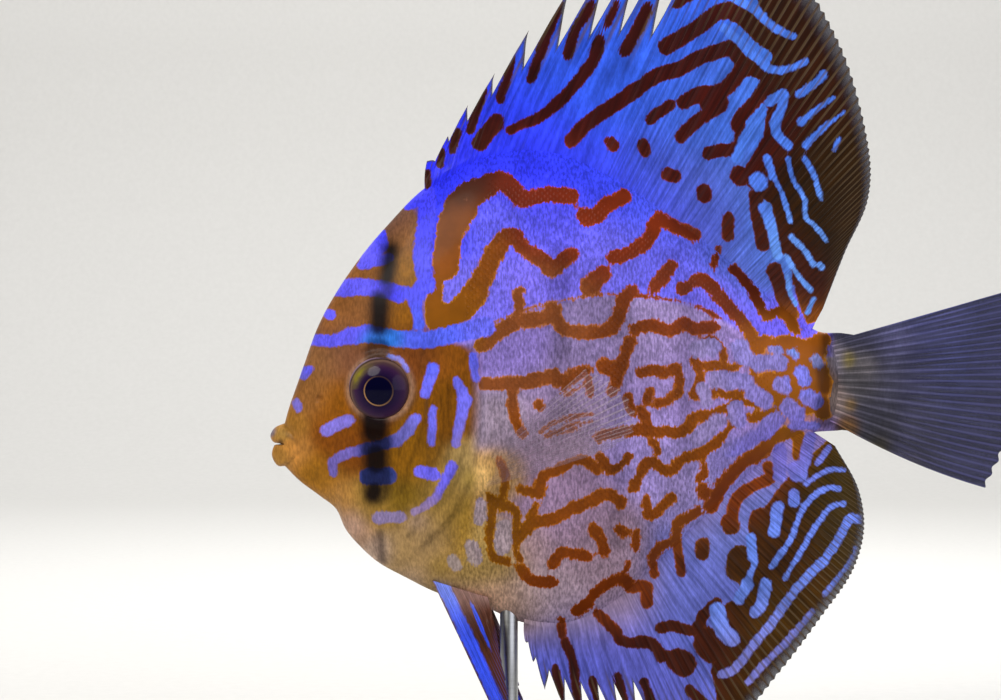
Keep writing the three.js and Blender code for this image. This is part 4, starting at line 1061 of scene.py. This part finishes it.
# Clear varnished skin with pale horny rays: nearly all of the flank behind shows through.
clear_skin = fin_finish("clear_fin_skin", "#8A7C90", -0.14, 0.1, "#B8A8B0", 1.0, 1.5, 0.27,
                        bare=("#7A6E80", "#8A7C90"))
chest_at = np.linspace(0, len(PECTORAL_GUIDES) - 1, CHEST_RAYS * 10 + 1)
chest_ray = np.linspace(0, CHEST_RAYS, CHEST_RAYS * 10 + 1)
roots, tips = fin_columns(PECTORAL_GUIDES, chest_at)
reach = 1 - 0.03 * (0.5 - 0.5 * np.cos(2 * math.pi * chest_ray))
knob_out = flank(np.array([PECTORAL_KNOB[0]]), np.array([PECTORAL_KNOB[1]]))[0] + 0.4
for name, hand in (("chest_fin_left", -1), ("chest_fin_right", 1)):
    fin, spots = fin_sail(name, roots, tips, reach, chest_ray, 56, (2.0, 0.8), (0 * reach, 0 * reach),
                          lambda x, z, out: hand * (knob_out + PECTORAL_FLARE * (x - PECTORAL_KNOB[0])),
                          clear_skin, 0.1, 0.07)
    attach(fin, "root")
    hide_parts("pectoral_fin_left" if hand < 0 else "pectoral_fin_right")

# Belly fins
# A pair of narrow pointed fins hangs under the chest, each rooted in the belly skin.
# The long leading ray is bright blue, and the web behind it maroon.
PELVIC_GUIDES = [(-30.4, 42, -16, 12), (-28.4, 41.4, -15.6, 15.2), (-26.4, 40.8, -16, 19.6),
                 (-24.4, 40.2, -16.8, 24.8), (-22, 39.4, -18, 30.4), (-19.8, 38.6, -18.6, 34)]
PELVIC_RAYS = 8
PELVIC_COLUMNS = PELVIC_RAYS * 10 + 1
PELVIC_ROWS = 64
PELVIC_OUT = (2.8, 5.4)
# Varnished skin, painted blue over maroon, with a smoky tip.
belly_skin = fin_finish("pelvic_fin_skin", "#4A3A58", 0.95, 0.8, "#6A60C8", 0.35, 0.6)
pelvic_at = np.linspace(0, len(PELVIC_GUIDES) - 1, PELVIC_COLUMNS)
pelvic_ray = np.linspace(0, PELVIC_RAYS, PELVIC_COLUMNS)
for name, hand in (("belly_fin_left", -1), ("belly_fin_right", 1)):
    roots, tips = fin_columns(PELVIC_GUIDES, pelvic_at)
    if hand > 0:
        tips[:, 0] += 0.12 * (roots[:, 1] - tips[:, 1])
    reach = 1 - 0.05 * (0.5 - 0.5 * np.cos(2 * math.pi * pelvic_ray))
    fin, spots = fin_sail(name, roots, tips, reach, pelvic_ray, PELVIC_ROWS, (2.4, 0.9),
                          (0 * reach, 0 * reach),
                          lambda x, z, out: hand * (PELVIC_OUT[0] + PELVIC_OUT[1] * out),
                          belly_skin, 0.2, 0.12)
    web_share = pelvic_at / (len(PELVIC_GUIDES) - 1)
    across = np.tile(np.broadcast_to(web_share, (PELVIC_ROWS, PELVIC_COLUMNS)).ravel(), 2)
    down = np.tile(np.repeat(np.linspace(0, 1, PELVIC_ROWS), PELVIC_COLUMNS), 2)
    band = 0.17 - 0.03 * down
    blue = (np.abs(across - 0.2 + 0.02 * down) / band - 1) * 0.9
    lilac = (np.hypot((across - 0.66 + 0.1 * down) / 0.05, (down - 0.4) / 0.26) - 1) * 0.9
    root = np.exp(-(down / 0.22) ** 2)[:, None]
    put(fin, "ground", root * np.array(linear("#8A6A62")) + (1 - root) * np.array(linear("#4E2A1C")))
    put(fin, "brown_shade", np.tile(linear("#4A1810"), (len(spots), 1)))
    put(fin, "blue_shade", root * np.array(linear("#7C90F4")) + (1 - root) * np.array(linear("#3A56F6")))
    put(fin, "brown", np.full(len(spots), 2.0))
    put(fin, "blue", np.minimum(blue * 1.2, lilac * 1.2))
    put(fin, "dark", np.zeros(len(spots)))
    put(fin, "scaly", np.full(len(spots), 0.4))
    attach(fin, "root")
    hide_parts("pelvic_fin_left" if hand < 0 else "pelvic_fin_right")

# Stand base
# A flat steel plate with rounded corners and a small bevel, cut from sheet and sprayed satin black.
# It rests on the floor, and the rod's foot is screwed to it.
BASE = (84.0, 60.0, 6.0)
BASE_CORNER = 9.0
BASE_BEVEL = 0.8
ROD_X = -16.2


def corner_ring(inset, height, steps=14):
    """The plate's outline at one height, pulled in by inset."""
    points = []
    for sx, sy, start in ((1, 1, 0), (-1, 1, 90), (-1, -1, 180), (1, -1, 270)):
        cx = sx * (BASE[0] / 2 - BASE_CORNER)
        cy = sy * (BASE[1] / 2 - BASE_CORNER)
        for i in range(steps):
            angle = math.radians(start + 90 * i / (steps - 1))
            out = BASE_CORNER - inset
            points.append((cx + out * math.cos(angle), cy + out * math.sin(angle), height))
    return points


base_low, base_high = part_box("stand_base")
base_centre = (base_low.x + base_high.x) * 500
bevel_turn = [math.radians(a) for a in (0, 22.5, 45, 67.5, 90)]
rings = [(BASE_BEVEL * (1 - math.sin(a)), BASE_BEVEL * (1 - math.cos(a))) for a in bevel_turn]
heights = rings + [(inset, BASE[2] - rise) for inset, rise in rings[::-1]]
plate_points = [corner_ring(inset, height) for inset, height in heights]
plate_spots = np.array(plate_points) + np.array([base_centre, 0, 0])
ring_size = plate_spots.shape[1]
plate_ring_faces = grid_faces(len(plate_spots), ring_size, True).tolist()
top_ring = (len(plate_spots) - 1) * ring_size
plate_ring_faces += [list(range(ring_size))[::-1], [top_ring + i for i in range(ring_size)]]

# Satin spray paint on steel: an even black with the fine orange-peel of a spray gun.
black_paint, tree = new_finish("satin_black_paint")
place = node(tree, "TexCoord")["Object"]
peel = node(tree, "TexNoise", {"Vector": place, "Scale": 900.0, "Detail": 2.0})["Fac"]
dust = node(tree, "TexNoise", {"Vector": place, "Scale": 60.0, "Detail": 4.0})["Fac"]
black = node(tree, "Mix", {0: dust, 6: linear("#17181A"), 7: linear("#26272A")}, data_type="RGBA")[2]
rough = node(tree, "MapRange", {"Value": dust, "To Min": 0.36, "To Max": 0.5})["Result"]
bump = node(tree, "Bump", {"Height": peel, "Distance": 0.00004, "Strength": 0.4})["Normal"]
shader = node(tree, "BsdfPrincipled", {"Base Color": black, "Roughness": rough, "Normal": bump})["BSDF"]
node(tree, "OutputMaterial", {"Surface": shader})
base = mesh_piece("stand_plate", plate_spots, plate_ring_faces, black_paint)
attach(base, "root")
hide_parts("stand_base")

# Stand rod
# A short round rod of stainless steel, turned and brushed, with a low foot screwed to the plate.
# It goes straight up into the belly, where the model is pushed onto it.
ROD_RADIUS = 1.8
FOOT = (5.4, 3.4)
ROD_TOP = 44.0
rod_profile = [(FOOT[0], BASE[2]), (FOOT[0], 6.9), (FOOT[0] - 0.15, 7.2), (4.2, 7.9), (2.9, 8.7),
               (2.1, FOOT[1] + 5.6), (ROD_RADIUS, FOOT[1] + 6.4), (ROD_RADIUS, 24),
               (ROD_RADIUS, ROD_TOP - 0.4), (ROD_RADIUS - 0.3, ROD_TOP)]
ROD_STEPS = 48
around = np.linspace(0, 2 * math.pi, ROD_STEPS, endpoint=False)
rod_spots = np.array([[(ROD_X + r * math.cos(a), r * math.sin(a), z) for a in around]
                      for r, z in rod_profile])
rod_faces = grid_faces(len(rod_spots), ROD_STEPS, True).tolist()
rod_faces += [list(range(ROD_STEPS))[::-1], [(len(rod_spots) - 1) * ROD_STEPS + i for i in range(ROD_STEPS)]]

# Brushed stainless steel: a warm grey metal with fine turning lines round it.
# Real ones are too fine to show, so they are drawn half a millimetre apart.
brushed_steel, tree = new_finish("brushed_steel")
place = node(tree, "TexCoord")["Object"]
turned = node(tree, "VectorMath", {0: place, 1: (60.0, 60.0, 2200.0)}, operation="MULTIPLY")[0]
brush = node(tree, "TexNoise", {"Vector": turned, "Scale": 1.0, "Detail": 3.0})["Fac"]
steel = node(tree, "Mix", {0: brush, 6: linear("#8E9092"), 7: linear("#B4B4B2")}, data_type="RGBA")[2]
rough = node(tree, "MapRange", {"Value": brush, "To Min": 0.24, "To Max": 0.42})["Result"]
bump = node(tree, "Bump", {"Height": brush, "Distance": 0.00003, "Strength": 0.5})["Normal"]
shader = node(tree, "BsdfPrincipled", {"Base Color": steel, "Roughness": rough, "Normal": bump,
                                       "Metallic": 1.0})["BSDF"]
node(tree, "OutputMaterial", {"Surface": shader})
rod = mesh_piece("stand_post", rod_spots, rod_faces, brushed_steel)
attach(rod, "root")
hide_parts("stand_rod")

# Studio
# The model stands on a sheet of pale matt card that curves up behind it, well back.
# Large soft lamps light it from both sides in front, from behind, and on the card itself.
SWEEP_START = 980
SWEEP_BEND = 300
SWEEP_FRONT = -2600
SWEEP_TOP = 2000
SWEEP_HALF = 2400
sweep_line = [(SWEEP_FRONT, 0), (SWEEP_START, 0)]
for angle in range(10, 91, 10):
    turned = math.radians(angle)
    forward = SWEEP_START + SWEEP_BEND * math.sin(turned)
    sweep_line.append((forward, SWEEP_BEND - SWEEP_BEND * math.cos(turned)))
sweep_line.append((SWEEP_START + SWEEP_BEND, SWEEP_TOP))
sweep_spots = [(x, y, z) for y, z in sweep_line for x in (-SWEEP_HALF, SWEEP_HALF)]
sweep_faces = [(2 * i, 2 * i + 1, 2 * i + 3, 2 * i + 2) for i in range(len(sweep_line) - 1)]

# Matt card: no shine, with a faint cloud of fibres.
pale_paper, tree = new_finish("pale_paper")
place = node(tree, "TexCoord")["Object"]
fibre = node(tree, "TexNoise", {"Vector": place, "Scale": 300.0, "Detail": 3.0})["Fac"]
paper = node(tree, "Mix", {0: fibre, 6: linear("#C6C5C2"), 7: linear("#CECDCA")}, data_type="RGBA")[2]
shader = node(tree, "BsdfPrincipled", {"Base Color": paper, "Roughness": 0.9})["BSDF"]
node(tree, "OutputMaterial", {"Surface": shader})
sweep = mesh_piece("paper_sweep", sweep_spots, sweep_faces, pale_paper)
sweep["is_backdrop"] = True


def soft_lamp(name, place, aim, size, power, shade):
    """A large round lamp turned towards the model."""
    lamp = bpy.data.lights.new(name, "AREA")
    lamp.shape = "ELLIPSE"
    lamp.size = size[0]
    lamp.size_y = size[1]
    lamp.energy = power
    lamp.color = linear(shade)[:3]
    held = bpy.data.objects.new(name, lamp)
    held.location = place
    back = np.array(place) - np.array(aim)
    yaw = math.atan2(back[1], back[0])
    pitch = math.atan2(math.hypot(back[0], back[1]), back[2])
    held.rotation_euler = (pitch, 0, yaw + math.pi / 2)
    bpy.context.scene.collection.objects.link(held)


soft_lamp("key_lamp", (-0.6, -0.7, 0.85), (0.0, 0.0, 0.09), (0.6, 0.6), 10.0, "#FFFAF2")
soft_lamp("fill_lamp", (0.65, -0.8, 0.25), (0.0, 0.0, 0.09), (1.0, 1.0), 5.4, "#F2F4FF")
soft_lamp("back_lamp", (0.1, 0.45, 0.6), (0.0, 0.0, 0.12), (0.5, 0.3), 3.4, "#FFFFFF")
soft_lamp("sweep_lamp", (0.0, 0.6, 1.2), (0.0, 1.2, 0.2), (2.0, 0.4), 17.0, "#FFFFFF")
room = bpy.data.worlds.new("soft_room")
room.use_nodes = True
room.node_tree.nodes["Background"].inputs["Color"].default_value = linear("#F4F4F8")
room.node_tree.nodes["Background"].inputs["Strength"].default_value = 0.14
bpy.context.scene.world = room

# Size note
# The box of every shown piece of the model, in metres, leaving out the backdrop.
low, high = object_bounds()
